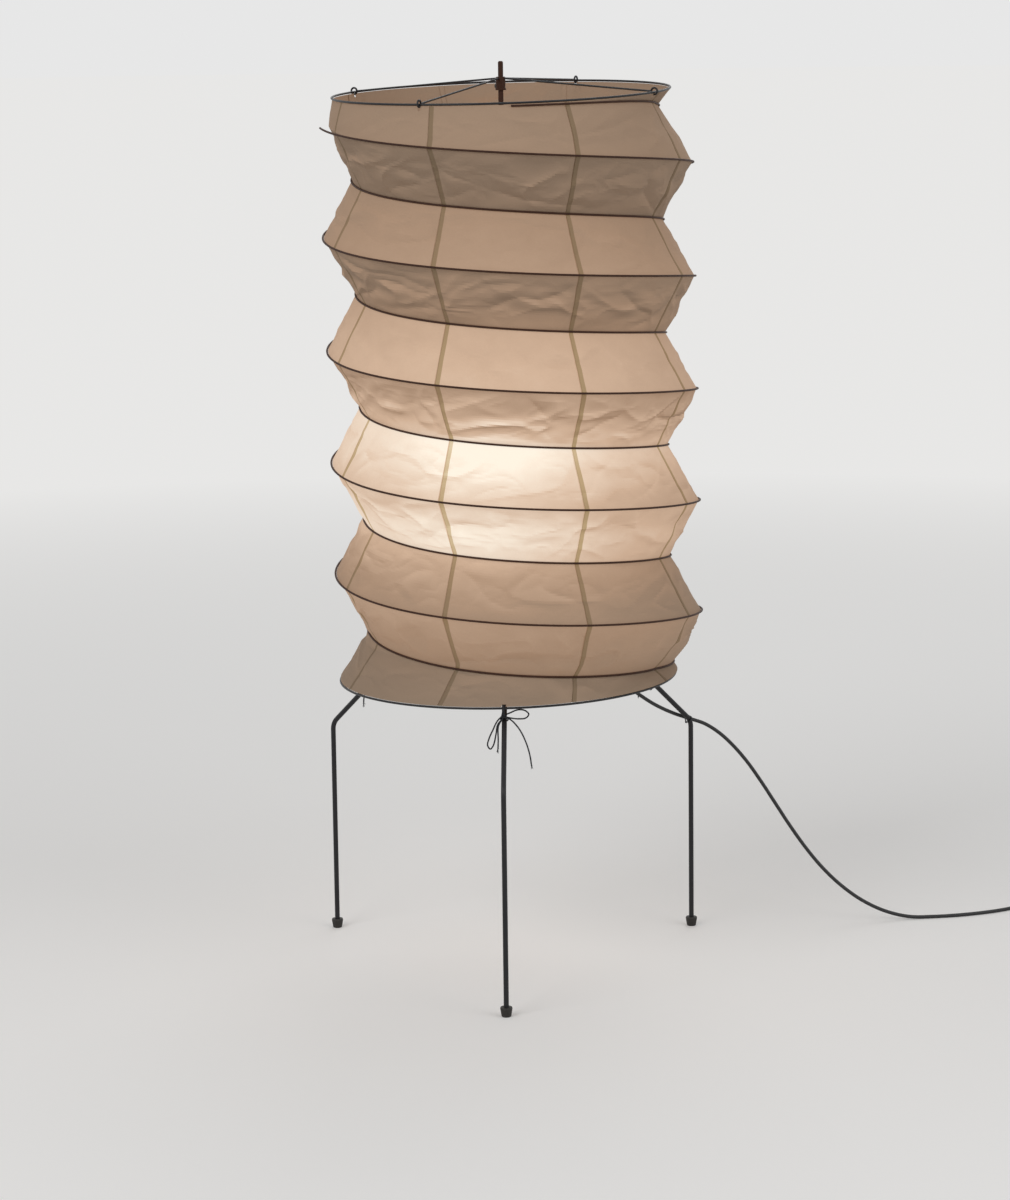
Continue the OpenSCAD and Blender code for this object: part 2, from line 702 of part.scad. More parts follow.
end_route = [[1003, 450, 9.6], [1003, 442, 9.6], [1002.5, 430, 9.2], [1000.5, 416, 8.4],
    [997.5, 402, 7.7], [994.5, 390, 7.5], [993, 381, 7.5], [993, 374, 7.5]];
cord_sides = 8;
coil_sides = 6;
coil_rings = 24;
coil_centre = [959, 456];
switch_at = [915, 387];
plug_at = [993, 374];

// The coil winds inward on the floor, climbs in half a turn, and winds outward on top
coil_turns = 2 * coil_loops + 0.5;
function coil_r_at(u) = coil_r - coil_step * min(u, coil_turns - u);
function coil_z_at(u) =
    let (w = clamp01((u - coil_loops) / 0.5))
    cord_d / 2 + coil_step * (3 * w * w - 2 * w * w * w);
coil_loop_points = [for (i = [0 : coil_turns * coil_rings])
    let (u = i / coil_rings, a = 180 - 360 * u, r = coil_r_at(u))
    [coil_centre[0] + r * cos(a), coil_centre[1] + r * sin(a), coil_z_at(u)]];
coil_points = concat([coil_loop_points[0] - [0, cord_d, 0]], coil_loop_points,
                     [coil_loop_points[len(coil_loop_points) - 1] - [0, cord_d, 0]]);
// Least gap between loops, from points that are at least half a turn apart
coil_gaps = [for (i = [0 : len(coil_loop_points) - 1])
    for (j = [i + coil_rings / 2 : 1 : len(coil_loop_points) - 1])
        norm(coil_loop_points[i] - coil_loop_points[j]) - cord_d];
echo(least_gap_in_coil = min(coil_gaps));

module cord_run(route) {
    color("#121212") tube(route, cord_d, cord_sides, [0.4, 0.9, 0.1]);
}
module cord_coil() {
    color("#121212") tube(coil_points, cord_d, coil_sides, [0, 0, 1]);
}

// String that holds the cord against the bend of the right leg, in a plane that crosses both
module cord_tie() {
    d = 2;
    room = d / 2 + seat_gap;
    a = 30;
    step = 30;
    leg_at = polar(leg_r - bend_r * (1 - cos(a)), leg_turn[1],
                   shoulder_z - bend_drop + bend_r * sin(a));
    leg_way = [0, 0, cos(a)] - sin(a) * polar(1, leg_turn[1], 0);
    cord_way = unit(outer_route[0] - outer_route[1]);
    normal = unit(leg_way + cord_way);
    start = outer_route[0] - leg_at;
    link = start - (start * normal) / (cord_way * normal) * cord_way;
    apart = unit(link);
    across = cross(normal, apart);
    wide = 1 / (normal * leg_way) / cos(step / 2);
    leg_side = [for (b = [90 : step : 270])
        leg_at + (leg_d / 2 + room) * wide * (cos(b) * apart + sin(b) * across)];
    cord_side = [for (b = [-90 : step : 90])
        leg_at + link + (cord_d / 2 + room) * wide * (cos(b) * apart + sin(b) * across)];
    knot_r = d + 0.2;
    knot = leg_at + ((leg_d / 2 + room) * wide + knot_r / 2) * across + 2 * apart;
    color("#101010")
    union() {
        tube(concat([knot], leg_side), d, string_sides, normal);
        tube(concat([leg_side[len(leg_side) - 1]], cord_side, [knot]), d, string_sides, normal);
        translate(knot) sphere(r = knot_r, $fn = 12);
    }
}

// ---- switch on the cord ----
switch_axis_z = 7;
module switch_outline(inset) {
    r = 9;
    for (y = [-1, 1]) for (x = [-1, 1])
        translate([x * (switch_w / 2 - r), y * (switch_l / 2 - r)]) circle(r = r - inset);
    square([switch_w - 2 * inset, switch_l - 2 * r], center = true);
    square([switch_w - 2 * r, switch_l - 2 * inset], center = true);
}
split_z = switch_axis_z;
rocker_l = 20;
rocker_w = 12;
module switch_base() {
    color("#161616")
    translate([switch_at[0], switch_at[1], 0])
    difference() {
        linear_extrude(split_z - run_gap) switch_outline(0);
        translate([0, 0, 2]) linear_extrude(split_z) switch_outline(2);
    }
}
module switch_cover() {
    color("#161616")
    translate([switch_at[0], switch_at[1], 0])
    difference() {
        union() {
            translate([0, 0, split_z]) linear_extrude(switch_h - split_z - 2) switch_outline(0);
            translate([0, 0, switch_h - 2]) linear_extrude(2) switch_outline(1.2);
        }
        translate([0, 0, split_z - cut]) linear_extrude(switch_h - split_z - 2 + cut)
            switch_outline(2);
        translate([-rocker_w / 2 - seat_gap, -rocker_l / 2 - seat_gap, split_z])
            cube([rocker_w + 2 * seat_gap, rocker_l + 2 * seat_gap, switch_h]);
    }
}
// Rocker with a shallow V on top, tipped towards the coil, and its pin across the switch
rocker_pin_z = switch_h - 4;
rocker_tip = 8;
rocker_pin_d = 3;
rocker_reach = rocker_l / 2 - 0.8;
module switch_rocker() {
    color("#1e1e1e")
    translate([switch_at[0], switch_at[1], rocker_pin_z])
    rotate([90, 0, 90])
    rotate([0, 0, -rocker_tip])
    translate([0, 0, -rocker_w / 2])
    difference() {
        linear_extrude(rocker_w)
            polygon([[-rocker_reach, -1], [-4, -4.5], [4, -4.5], [rocker_reach, -1],
                     [rocker_reach, 5], [0, 3.4], [-rocker_reach, 5]]);
        translate([0, 0, -cut])
            cylinder(h = rocker_w + 2 * cut, d = rocker_pin_d + 2 * run_gap);
    }
}
module rocker_pin() {
    pin_l = switch_w - 2 * 2 - 2 * seat_gap;
    color("#8d9196")
    translate([switch_at[0] - pin_l / 2, switch_at[1], rocker_pin_z])
        rotate([0, 90, 0]) cylinder(h = pin_l, d = rocker_pin_d);
}

// ---- plug with two flat blades ----
blade_l = 17;
blade_w = 6.3;
blade_t = 1.5;
blade_gap = 12.7;
module plug_body() {
    grip = 10;
    color("#141414")
    translate([plug_at[0], plug_at[1], plug_t / 2])
    rotate([90, 0, 0])
    difference() {
        union() {
            hull() {
                for (x = [-1, 1])
                    translate([x * (plug_w / 2 - 5), 0, grip])
                        cylinder(h = plug_l - grip, r = 5, $fn = 24);
                for (y = [-1, 1])
                    translate([0, y * (plug_t / 2 - 3), grip])
                        cylinder(h = plug_l - grip, r = 3, $fn = 24);
            }
            hull() {
                cylinder(h = 2, r = cord_d / 2 + 1.6, $fn = 24);
                translate([0, 0, grip]) cylinder(h = 2, r = plug_t / 2 - 1, $fn = 24);
            }
        }
        for (x = [-1, 1])
            translate([x * blade_gap / 2 - blade_t / 2 - run_gap, -blade_w / 2 - run_gap,
                       plug_l - 8])
                cube([blade_t + 2 * run_gap, blade_w + 2 * run_gap, 8 + cut]);
    }
}
module plug_blades() {
    hole_r = 1.6;
    color("#b5a268")
    translate([plug_at[0], plug_at[1], plug_t / 2])
    rotate([90, 0, 0])
    for (x = [-1, 1])
        translate([x * blade_gap / 2 - blade_t / 2, 0, plug_l - 8 + run_gap])
            difference() {
                union() {
                    translate([0, -blade_w / 2, 0])
                        cube([blade_t, blade_w, 8 + blade_l - blade_w / 2]);
                    translate([0, 0, 8 + blade_l - blade_w / 2])
                        rotate([0, 90, 0]) cylinder(h = blade_t, d = blade_w);
                }
                translate([-cut, 0, 8 + blade_l - 5])
                    rotate([0, 90, 0]) cylinder(h = blade_t + 2 * cut, r = hole_r);
            }
}

leg(leg_turn[0]);  // leg_front
leg(leg_turn[1]);  // leg_right
leg(leg_turn[2]);  // leg_left
foot(leg_turn[0]);  // foot_front
foot(leg_turn[1]);  // foot_right
foot(leg_turn[2]);  // foot_left
arm_boss();
centre_rod();
holder_strap();
holder_nipple();
holder_nut();
strain_relief();
holder_cap();
holder_skirt();
holder_sleeve();
holder_contact();
holder_insulator();
lamp_base();
lamp_contact();
lamp_glass();
sliding_hub();
clamp_screw();
top_ring();
eye_spoke(spoke_turns[0]);  // spoke_front
eye_spoke(spoke_turns[1]);  // spoke_right
eye_spoke(spoke_turns[2]);  // spoke_back
eye_spoke(spoke_turns[3]);  // spoke_left
low_ring();
peak_rib();
valley_rib();
gore(0);  // gore_1
gore(1);  // gore_2
gore(2);  // gore_3
gore(3);  // gore_4
gore(4);  // gore_5
gore(5);  // gore_6
gore(6);  // gore_7
gore(7);  // gore_8
tie(leg_turn[0], 1);  // tie_front
tie(leg_turn[1], 0.9);  // tie_right
tie(leg_turn[2], 0.85);  // tie_left
cord_run(inner_route);  // cord_inner
cord_tie();
cord_run(outer_route);  // cord_outer
switch_base();
switch_cover();
switch_rocker();
rocker_pin();
cord_run(link_route);  // cord_link
cord_coil();
cord_run(end_route);  // cord_end
plug_body();
plug_blades();
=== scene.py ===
import math

import bmesh
import bpy
import numpy as np
from mathutils import Matrix, Vector


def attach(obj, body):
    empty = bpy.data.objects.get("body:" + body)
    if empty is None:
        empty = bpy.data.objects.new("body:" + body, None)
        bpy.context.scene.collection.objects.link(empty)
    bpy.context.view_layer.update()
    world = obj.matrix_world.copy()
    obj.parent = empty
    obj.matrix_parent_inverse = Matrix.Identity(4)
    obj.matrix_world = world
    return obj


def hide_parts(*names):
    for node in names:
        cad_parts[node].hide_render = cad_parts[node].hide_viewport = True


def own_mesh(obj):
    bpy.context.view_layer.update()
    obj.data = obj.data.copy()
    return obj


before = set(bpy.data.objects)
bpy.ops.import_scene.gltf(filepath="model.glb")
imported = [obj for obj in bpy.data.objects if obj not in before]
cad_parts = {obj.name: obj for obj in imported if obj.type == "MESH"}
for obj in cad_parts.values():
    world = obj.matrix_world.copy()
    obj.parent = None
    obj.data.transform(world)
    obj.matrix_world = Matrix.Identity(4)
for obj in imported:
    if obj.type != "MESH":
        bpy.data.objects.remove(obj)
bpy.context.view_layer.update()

bl_info = {
    "name": "Folded paper floor lamp",
    "version": (1, 0, 0),
    "blender": (4, 5, 0),
    "location": "View3D > Sidebar > Paper lamp",
    "description": "Dresses the solids of a floor lamp with a folded paper shade",
    "category": "Object",
}

# --- measures, metres
# Rings and stand, as the solids have them
TOP_Z, TOP_R, TOP_DIP_LEFT, TOP_DIP_FRONT, TOP_DIP = 1.387, 0.263, 0.005, 0.009, 0.0103
ARM_SLOPE = math.radians(44.5)
LEG_R, SHOULDER_Z, LEG_D, BEND_R = 0.342, 0.350, 0.008, 0.025
BOSS_Z = SHOULDER_Z + LEG_R * math.tan(ARM_SLOPE)
LOW_R, LOW_DIP_LEFT, LOW_OVER_ARM = 0.268, 0.005, 0.0423
LOW_Z = BOSS_Z - LOW_R * math.tan(ARM_SLOPE) + LOW_OVER_ARM
RING_D = 0.0035
LEG_TURNS = {"front": 0.0, "right": 120.0, "left": 240.0}
SPOKE_TURNS = (-26.0, 64.0, 154.0, 244.0)
# Clearance of seated pieces, and the paper's edges at the rings
SEAT = 0.0003
EDGE_ROOM, EDGE_TRIM = RING_D / 2 + SEAT, 0.0004
RING_SOFT, RING_ROOM = 0.006, EDGE_ROOM + 0.0024
# Depths from a ring at which a fold starts to open and is fully open
PEAK_STARTS, PEAK_FULL = 0.025, 0.054
VALLEY_STARTS, VALLEY_FULL = 0.0048, 0.021
LOW_STARTS, LOW_PEAK_FULL, LOW_VALLEY_FULL = 0.0048, 0.040, 0.014
# The spiral's start, its wave in one turn, and how far the shade leans to the right
FIRST_FOLD_Z = TOP_Z + 0.0115
FOLD_RISE, FOLD_DIP = 0.010, 0.0025
FOLD_NUMBERS, FOLD_MARGIN = range(-3, 17), 0.014
SWAY_LOW, SWAY_TOP, SWAY_EDGE = 0.021, 0.006, 0.060
GORES, GORE_START = 8, 22.5
GORE_STEP = 360 / GORES
# Notches of the paper for the spokes' eyes and the tie strings: width and depth
EYE_NOTCH, EYE_DEPTH = 0.0042, 0.0072
TIE_NOTCH, TIE_DEPTH = 0.0064, 0.0052
# The place of the lamp's light, and the middle of the shade that the studio lamps face
LAMP_AT, SHADE_MIDDLE = Vector((0.0, 0.046, 0.798)), Vector((0.0, 0.0, 0.8))
STRING_D, STRING_STEP, CORD_D, CORD_STEP = 0.0026, 0.002, 0.006, 0.004
# Paleness of the background and the glow of the floor under the lamp
BACKGROUND, FLOOR_GLOW = 0.80, 0.14
FLOOR_R, FADE_FROM, FADE_OVER = 60.0, 1.0, 4.6


# --- what the panel shows
def amount(label, about, default, **unit):
    """A number of the panel"""
    return bpy.props.FloatProperty(name=label, description=about, default=default, **unit)


def length(label, about, default):
    """A length of the panel"""
    return amount(label, about, default, unit="LENGTH", precision=5)


def angle(label, about, degrees):
    """An angle of the panel"""
    return amount(label, about, math.radians(degrees), subtype="ANGLE")


def colour(label, about, default):
    """A colour of the panel"""
    return bpy.props.FloatVectorProperty(name=label, description=about, default=default,
                                         size=3, subtype="COLOR")


class ShadeSizes(bpy.types.PropertyGroup):
    """Sizes of the folded paper and its wires"""
    peak_radius: length("Outward fold radius", "Radius on the outward folds", 0.289)
    valley_radius: length("Inward fold radius", "Radius on the inward folds", 0.241)
    fold_pitch: length("Fold pitch", "Rise of a spiral fold in one turn", 0.177)
    paper: length("Paper thickness", "Thickness of the paper", 0.0006)
    lap: length("Seam lap", "Width of a glued seam between two gores", 0.0078)
    crumple: length("Crumple", "Height of the paper's soft dents", 0.0024)
    crease: length("Crease", "Height of the paper's sharp creases", 0.0036)
    column_step: amount("Column step", "Degrees between two columns of the paper's mesh", 0.75)
    band_rows: bpy.props.IntProperty(
        name="Rows in a band", description="Rows of the paper's mesh from one fold to the next",
        default=26)
    rib: length("Rib wire", "Diameter of the wires in the folds", 0.0032)
    seed: amount("Seed", "Fixed seed of the dents and creases", 3.7)


class GlowLook(bpy.types.PropertyGroup):
    """How the lit paper looks, with the lamp's light painted on as glow"""
    paper_colour: colour("Paper", "Colour of the paper under plain light", (0.335, 0.252, 0.184))
    direct: amount("Direct glow", "Share of the lamp's direct light that shines through", 0.056)
    spread: amount("Spread glow", "Glow from light that the paper throws about inside", 0.036)
    # The hot spot is a painted highlight, kept mostly to the front by its front share
    hot: amount("Hot spot", "Extra glow where the paper is nearest to the lamp", 0.40)
    front: amount("Hot spot to the front", "Share of the hot spot at the front only", 0.88)


class WireColours(bpy.types.PropertyGroup):
    """Colours of the bars, wires and small parts"""
    black_wire: colour("Black lacquer", "Legs and rings", (0.014, 0.014, 0.016))
    brown_wire: colour("Brown lacquer", "Rod, hub and the wires in the folds",
                       (0.050, 0.020, 0.011))
    string: colour("String", "Tie strings", (0.016, 0.018, 0.022))
    jacket: colour("Cord jacket", "Mains cord, switch and plug", (0.012, 0.012, 0.013))


class StageLook(bpy.types.PropertyGroup):
    """Camera, floor and studio light"""
    place: bpy.props.FloatVectorProperty(
        name="Camera", description="Where the camera stands",
        default=(0.1489, -5.3948, 1.5473), size=3, subtype="TRANSLATION")
    lens: amount("Lens", "Focal length in millimetres", 103.1)
    pitch: angle("Pitch", "How far the camera looks down", 10.11)
    yaw: angle("Yaw", "How far the camera turns to the left", 1.62)
    roll: angle("Roll", "How far the camera leans", -0.74)
    floor_colour: colour("Floor", "Colour of the floor and backdrop", (0.88, 0.875, 0.865))
    key: amount("Key light", "Power of the large soft lamp, watts", 70.0)
    fill: amount("Fill light", "Power of the second soft lamp, watts", 30.0)
    sky: amount("Sky", "Strength of the even light from all round", 0.34)


# --- node trees as expressions
def sign(operation, swapped=False):
    """A method of Flow that adds the node for one operation"""
    def method(self, other):
        return self.combine(operation, *((other, self) if swapped else (self, other)))
    return method


class Flow:
    """A socket of a node tree. Arithmetic on it adds the nodes that work it out."""

    def __init__(self, tree, socket):
        self.tree = tree
        self.socket = socket

    @property
    def is_vector(self):
        return self.socket.type in {"VECTOR", "RGBA"}

    def combine(self, operation, first, second=None):
        vector = any(isinstance(item, (Vector, tuple)) or getattr(item, "is_vector", False)
                     for item in (first, second))
        node = self.tree.nodes.new("ShaderNodeVectorMath" if vector else "ShaderNodeMath")
        node.operation = operation
        for socket, item in zip(node.inputs, (first, second)):
            if item is not None:
                if vector and isinstance(item, (int, float)):
                    item = (item, item, item)
                feed(self.tree, socket, item)
        return Flow(self.tree, node.outputs[0])

    __add__, __radd__ = sign("ADD"), sign("ADD", True)
    __sub__, __rsub__ = sign("SUBTRACT"), sign("SUBTRACT", True)
    __mul__, __rmul__ = sign("MULTIPLY"), sign("MULTIPLY", True)
    __truediv__, __rtruediv__ = sign("DIVIDE"), sign("DIVIDE", True)
    __pow__, __lt__, __gt__ = sign("POWER"), sign("LESS_THAN"), sign("GREATER_THAN")
    at_least, at_most = sign("MAXIMUM"), sign("MINIMUM")

    def __abs__(self):
        return self.combine("ABSOLUTE", self)

    def cosine(self):
        return self.combine("COSINE", self)

    def sine(self):
        return self.combine("SINE", self)

    def clamped(self):
        return self.at_least(0.0).at_most(1.0)


def feed(tree, socket, item):
    """Links a flow to a socket, or sets the socket's own value"""
    if isinstance(item, Flow):
        tree.links.new(item.socket, socket)
    elif socket.type == "RGBA" and len(item) == 3:
        socket.default_value = (*item, 1.0)
    else:
        socket.default_value = item


class Board:
    """Adds nodes to one tree, each from its type, its settings and what its sockets get"""

    def __init__(self, tree):
        self.tree = tree

    def add(self, kind, settings=None, sockets=None, out=0):
        node = self.tree.nodes.new(kind)
        for name, value in (settings or {}).items():
            setattr(node, name, value)
        self.fill(node, sockets or {})
        return Flow(self.tree, node.outputs[out])

    def fill(self, node, sockets):
        """Feeds a node's sockets by their name or number"""
        for key, item in sockets.items():
            feed(self.tree, node.inputs[key], item)

    # Colours and patterns
    def mix(self, factor, first, second):
        return self.add("ShaderNodeMix", {"data_type": "RGBA"},
                        {0: factor, 6: first, 7: second}, 2)

    def ramp(self, level, stops):
        """A colour for each level, from (level, colour) stops"""
        shade = self.add("ShaderNodeValToRGB", None, {0: level})
        elements = shade.socket.node.color_ramp.elements
        while len(elements) < len(stops):
            elements.new(0.5)
        for element, (place, tint) in zip(elements, stops):
            element.position = place
            element.color = (*tint, 1.0)
        return shade

    def noise(self, scale, detail, rough, where, distortion=0.0, seed=0.0):
        return self.add("ShaderNodeTexNoise", {"noise_dimensions": "4D"}, {
            "Scale": scale, "Detail": detail, "Roughness": rough, "Distortion": distortion,
            "W": seed, "Vector": where})

    def bump(self, strength, distance, height):
        return self.add("ShaderNodeBump", None,
                        {"Strength": strength, "Distance": distance, "Height": height})

    # Vectors
    def dot(self, first, second):
        return self.add("ShaderNodeVectorMath", {"operation": "DOT_PRODUCT"},
                        {0: first, 1: second}, 1)

    def norm(self, vector):
        return self.add("ShaderNodeVectorMath", {"operation": "LENGTH"}, {0: vector}, 1)

    def scaled(self, vector, factor):
        return self.add("ShaderNodeVectorMath", {"operation": "SCALE"},
                        {0: vector, "Scale": factor})

    # Shapes
    def named(self, name, kind="FLOAT"):
        return self.add("GeometryNodeInputNamedAttribute", {"data_type": kind}, {"Name": name})

    def moved(self, shape, offset):
        return self.add("GeometryNodeSetPosition", None, {"Geometry": shape, "Offset": offset})

    def covered(self, shape, material):
        return self.add("GeometryNodeSetMaterial", None, {"Geometry": shape, "Material": material})

    def merged(self, shape):
        return self.add("GeometryNodeMergeByDistance", None,
                        {"Geometry": shape, "Distance": 0.00001})

    def swept(self, line, sides, radius):
        """A round tube along a line, with flat ends"""
        ring = self.add("GeometryNodeCurvePrimitiveCircle", {"mode": "RADIUS"},
                        {"Resolution": sides, "Radius": radius})
        return self.add("GeometryNodeCurveToMesh", None,
                        {"Curve": line, "Profile Curve": ring, "Fill Caps": True})

    def joined(self, shapes):
        node = self.tree.nodes.new("GeometryNodeJoinGeometry")
        for shape in shapes:
            self.tree.links.new(shape.socket, node.inputs[0])
        return Flow(self.tree, node.outputs[0])


def seen_directly(tree):
    """1 for rays from the camera and those that gloss or glass send on, else 0"""
    path = tree.nodes.new("ShaderNodeLightPath")
    camera, gloss, glass = (Flow(tree, path.outputs[name]) for name in
                            ("Is Camera Ray", "Is Glossy Ray", "Is Transmission Ray"))
    return camera.at_least(gloss).at_least(glass)


# --- finishes
def new_finish(name):
    """A new material, its board and shader, and the place on the piece"""
    made = bpy.data.materials.new(name + " finish")
    made.use_nodes = True
    board = Board(made.node_tree)
    return (made, board, made.node_tree.nodes["Principled BSDF"],
            board.add("ShaderNodeTexCoord", out="Object"))


def toned(tint, factor):
    """A colour made darker or lighter"""
    return tuple(min(1.0, c * factor) for c in tint)


def finish(name, tint, roughness=0.5, metallic=0.0, speckle=0.12, grain=260.0, coat=0.0,
           gloss=0.5):
    """A finish with slight mottling, uneven gloss and a fine grain"""
    made, board, shader, where = new_finish(name)
    mottle = board.noise(38.0, 4.0, 0.6, where)
    fine = board.noise(grain, 3.0, 0.55, where, seed=2.0)
    board.fill(shader, {
        "Base Color": board.mix((mottle * 1.4 - 0.2).clamped(), toned(tint, 1 - speckle),
                                toned(tint, 1 + speckle)),
        "Roughness": roughness + (fine - 0.5) * 0.15,
        "Metallic": metallic, "Coat Weight": coat, "Specular IOR Level": gloss,
        "Normal": board.bump(0.5, 0.0002, fine)})
    return made


def lit_paper(name, look, gain, lap):
    """Paper with the lamp's light through it painted on as glow, darker where a seam doubles it"""
    made, board, shader, where = new_finish(name)
    glow, across = (board.add("ShaderNodeAttribute", {"attribute_name": attribute}, out="Fac")
                    for attribute in ("glow", "from_seam"))
    fibre = board.noise(420.0, 5.0, 0.62, where * (1.0, 1.0, 2.6), 1.2)
    cloud = board.noise(30.0, 4.0, 0.6, where, seed=5.0)
    doubled = across < lap - 0.0002
    edge = (across < 0.0012) * 0.22
    through = (1.0 - doubled * 0.30) * (1.0 - edge) * (0.90 + fibre * 0.10 + (cloud - 0.5) * 0.22)
    level = (glow * gain * through).clamped()
    plain = board.ramp(level, [(0.0, (0.0, 0.0, 0.0)), (0.20, (0.185, 0.105, 0.062)),
                               (0.45, (0.43, 0.290, 0.200)), (0.62, (0.57, 0.440, 0.340)),
                               (1.0, (0.80, 0.740, 0.640))])
    # The glue of a seam lets less blue through
    glued = board.ramp(level, [(0.0, (0.0, 0.0, 0.0)), (0.20, (0.150, 0.088, 0.038)),
                               (0.45, (0.36, 0.255, 0.130)), (0.62, (0.50, 0.390, 0.235)),
                               (1.0, (0.72, 0.640, 0.460))])
    pale = tuple(look.paper_colour)
    worn = board.mix(fibre, toned(pale, 0.88), toned(pale, 1.10))
    seam = tuple(c * k for c, k in zip(pale, (0.52, 0.50, 0.40)))
    board.fill(shader, {
        "Emission Color": board.mix(doubled, plain, glued), "Emission Strength": 1.0,
        "Base Color": board.mix((doubled * 0.62 + edge * 0.8).clamped(), worn, seam),
        "Roughness": 0.86, "Specular IOR Level": 0.25,
        "Normal": board.bump(0.35, 0.0003, fibre)})
    return made


def opal_glass(name):
    """The lit opal glass of the lamp"""
    made, board, shader, where = new_finish(name)
    cloud = board.noise(60.0, 2.0, 0.5, where)
    board.fill(shader, {
        "Emission Color": board.mix(cloud, (1.0, 0.80, 0.52), (1.0, 0.88, 0.64)),
        "Emission Strength": 2.2, "Base Color": (0.86, 0.83, 0.78), "Roughness": 0.25})
    return made


def make_finishes(scene):
    """All finishes of the part by the name of their slot"""
    tints = scene.lamp_wires
    made = {name: finish(name, *look, **more) for name, look, more in (
        ("black_wire", (tints.black_wire, 0.46), {"coat": 0.08, "gloss": 0.3}),
        ("brown_wire", (tints.brown_wire, 0.58), {"speckle": 0.25, "gloss": 0.22}),
        ("foot_cup", ((0.018, 0.015, 0.013), 0.62), {}),
        ("string", (tints.string, 0.85), {"speckle": 0.3, "grain": 1800.0}),
        ("brass", ((0.58, 0.43, 0.20), 0.30), {"metallic": 1.0}),
        ("holder_shell", ((0.020, 0.019, 0.018), 0.40), {}),
        ("insulator", ((0.72, 0.70, 0.64), 0.45), {"speckle": 0.05}),
        ("lamp_metal", ((0.62, 0.61, 0.58), 0.28), {"metallic": 1.0}),
        ("cord_jacket", (tints.jacket, 0.52), {"grain": 900.0}),
        ("cord_plastic", ((0.015, 0.015, 0.016), 0.42), {}))}
    made["lamp_glass"] = opal_glass("lamp_glass")
    # The inside is a brighter copy of the painted glow, as it faces the lamp
    for name, gain in (("paper", 1.0), ("paper_inside", 1.35)):
        made[name] = lit_paper(name, scene.lamp_glow, gain, scene.lamp_shade.lap)
    return made


FINISHES = {}


def finish_of(name):
    """The finish of that name, made with the others when first asked for"""
    if not FINISHES:
        FINISHES.update(make_finishes(bpy.context.scene))
    return FINISHES[name]


def dress(node_names, slot):
    """Gives CAD nodes a finish"""
    for name in node_names:
        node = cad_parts[name]
        node.data.materials.clear()
        node.data.materials.append(finish_of(slot))


# --- geometry trees
def new_tree(name, inputs):
    """An empty geometry tree with named inputs: name to (socket type, default)"""
    tree = bpy.data.node_groups.new(name, "GeometryNodeTree")
    tree.interface.new_socket("Geometry", in_out="INPUT", socket_type="NodeSocketGeometry")
    for label, (kind, default) in inputs.items():
        socket = tree.interface.new_socket(label, in_out="INPUT", socket_type="NodeSocket" + kind)
        if default is not None:
            socket.default_value = default
    tree.interface.new_socket("Geometry", in_out="OUTPUT", socket_type="NodeSocketGeometry")
    source = tree.nodes.new("NodeGroupInput")
    return tree, Board(tree), {s.name: Flow(tree, s) for s in source.outputs if s.name}


def end_tree(tree, board, shape, material=None):
    """Realises, sets the material and closes the tree"""
    shape = board.add("GeometryNodeRealizeInstances", None, {0: shape})
    if material is not None:
        shape = board.covered(shape, material)
    tree.links.new(shape.socket, tree.nodes.new("NodeGroupOutput").inputs[0])
    return tree


def wire_tree():
    """Round wire along every line of a curve, with flat ends"""
    tree, board, given = new_tree("round wire", {
        "Radius": ("Float", 0.0016), "Sides": ("Int", 12), "Finish": ("Material", None)})
    tube = board.swept(given["Geometry"], given["Sides"], given["Radius"])
    return end_tree(tree, board, tube, given["Finish"])


def string_tree():
    """Three strands laid round each line of a curve, as in a twisted string"""
    tree, board, given = new_tree("twisted string", {
        "Diameter": ("Float", STRING_D), "Lay": ("Float", 0.008), "Finish": ("Material", None)})
    line = board.add("GeometryNodeResampleCurve", {"mode": "LENGTH"},
                     {"Curve": given["Geometry"], "Length": 0.0011})
    along = board.add("GeometryNodeSplineParameter", out="Length")
    tangent = board.add("GeometryNodeInputTangent")
    normal = board.add("GeometryNodeInputNormal")
    side = board.add("ShaderNodeVectorMath", {"operation": "CROSS_PRODUCT"},
                     {0: tangent, 1: normal})
    thick, reach = given["Diameter"] * 0.27, given["Diameter"] * 0.23
    strands = []
    for strand in range(3):
        turn = along / given["Lay"] * math.tau + strand * math.tau / 3
        offset = (board.scaled(normal, turn.cosine() * reach)
                  + board.scaled(side, turn.sine() * reach))
        strands.append(board.swept(board.moved(line, offset), 6, thick))
    return end_tree(tree, board, board.joined(strands), given["Finish"])


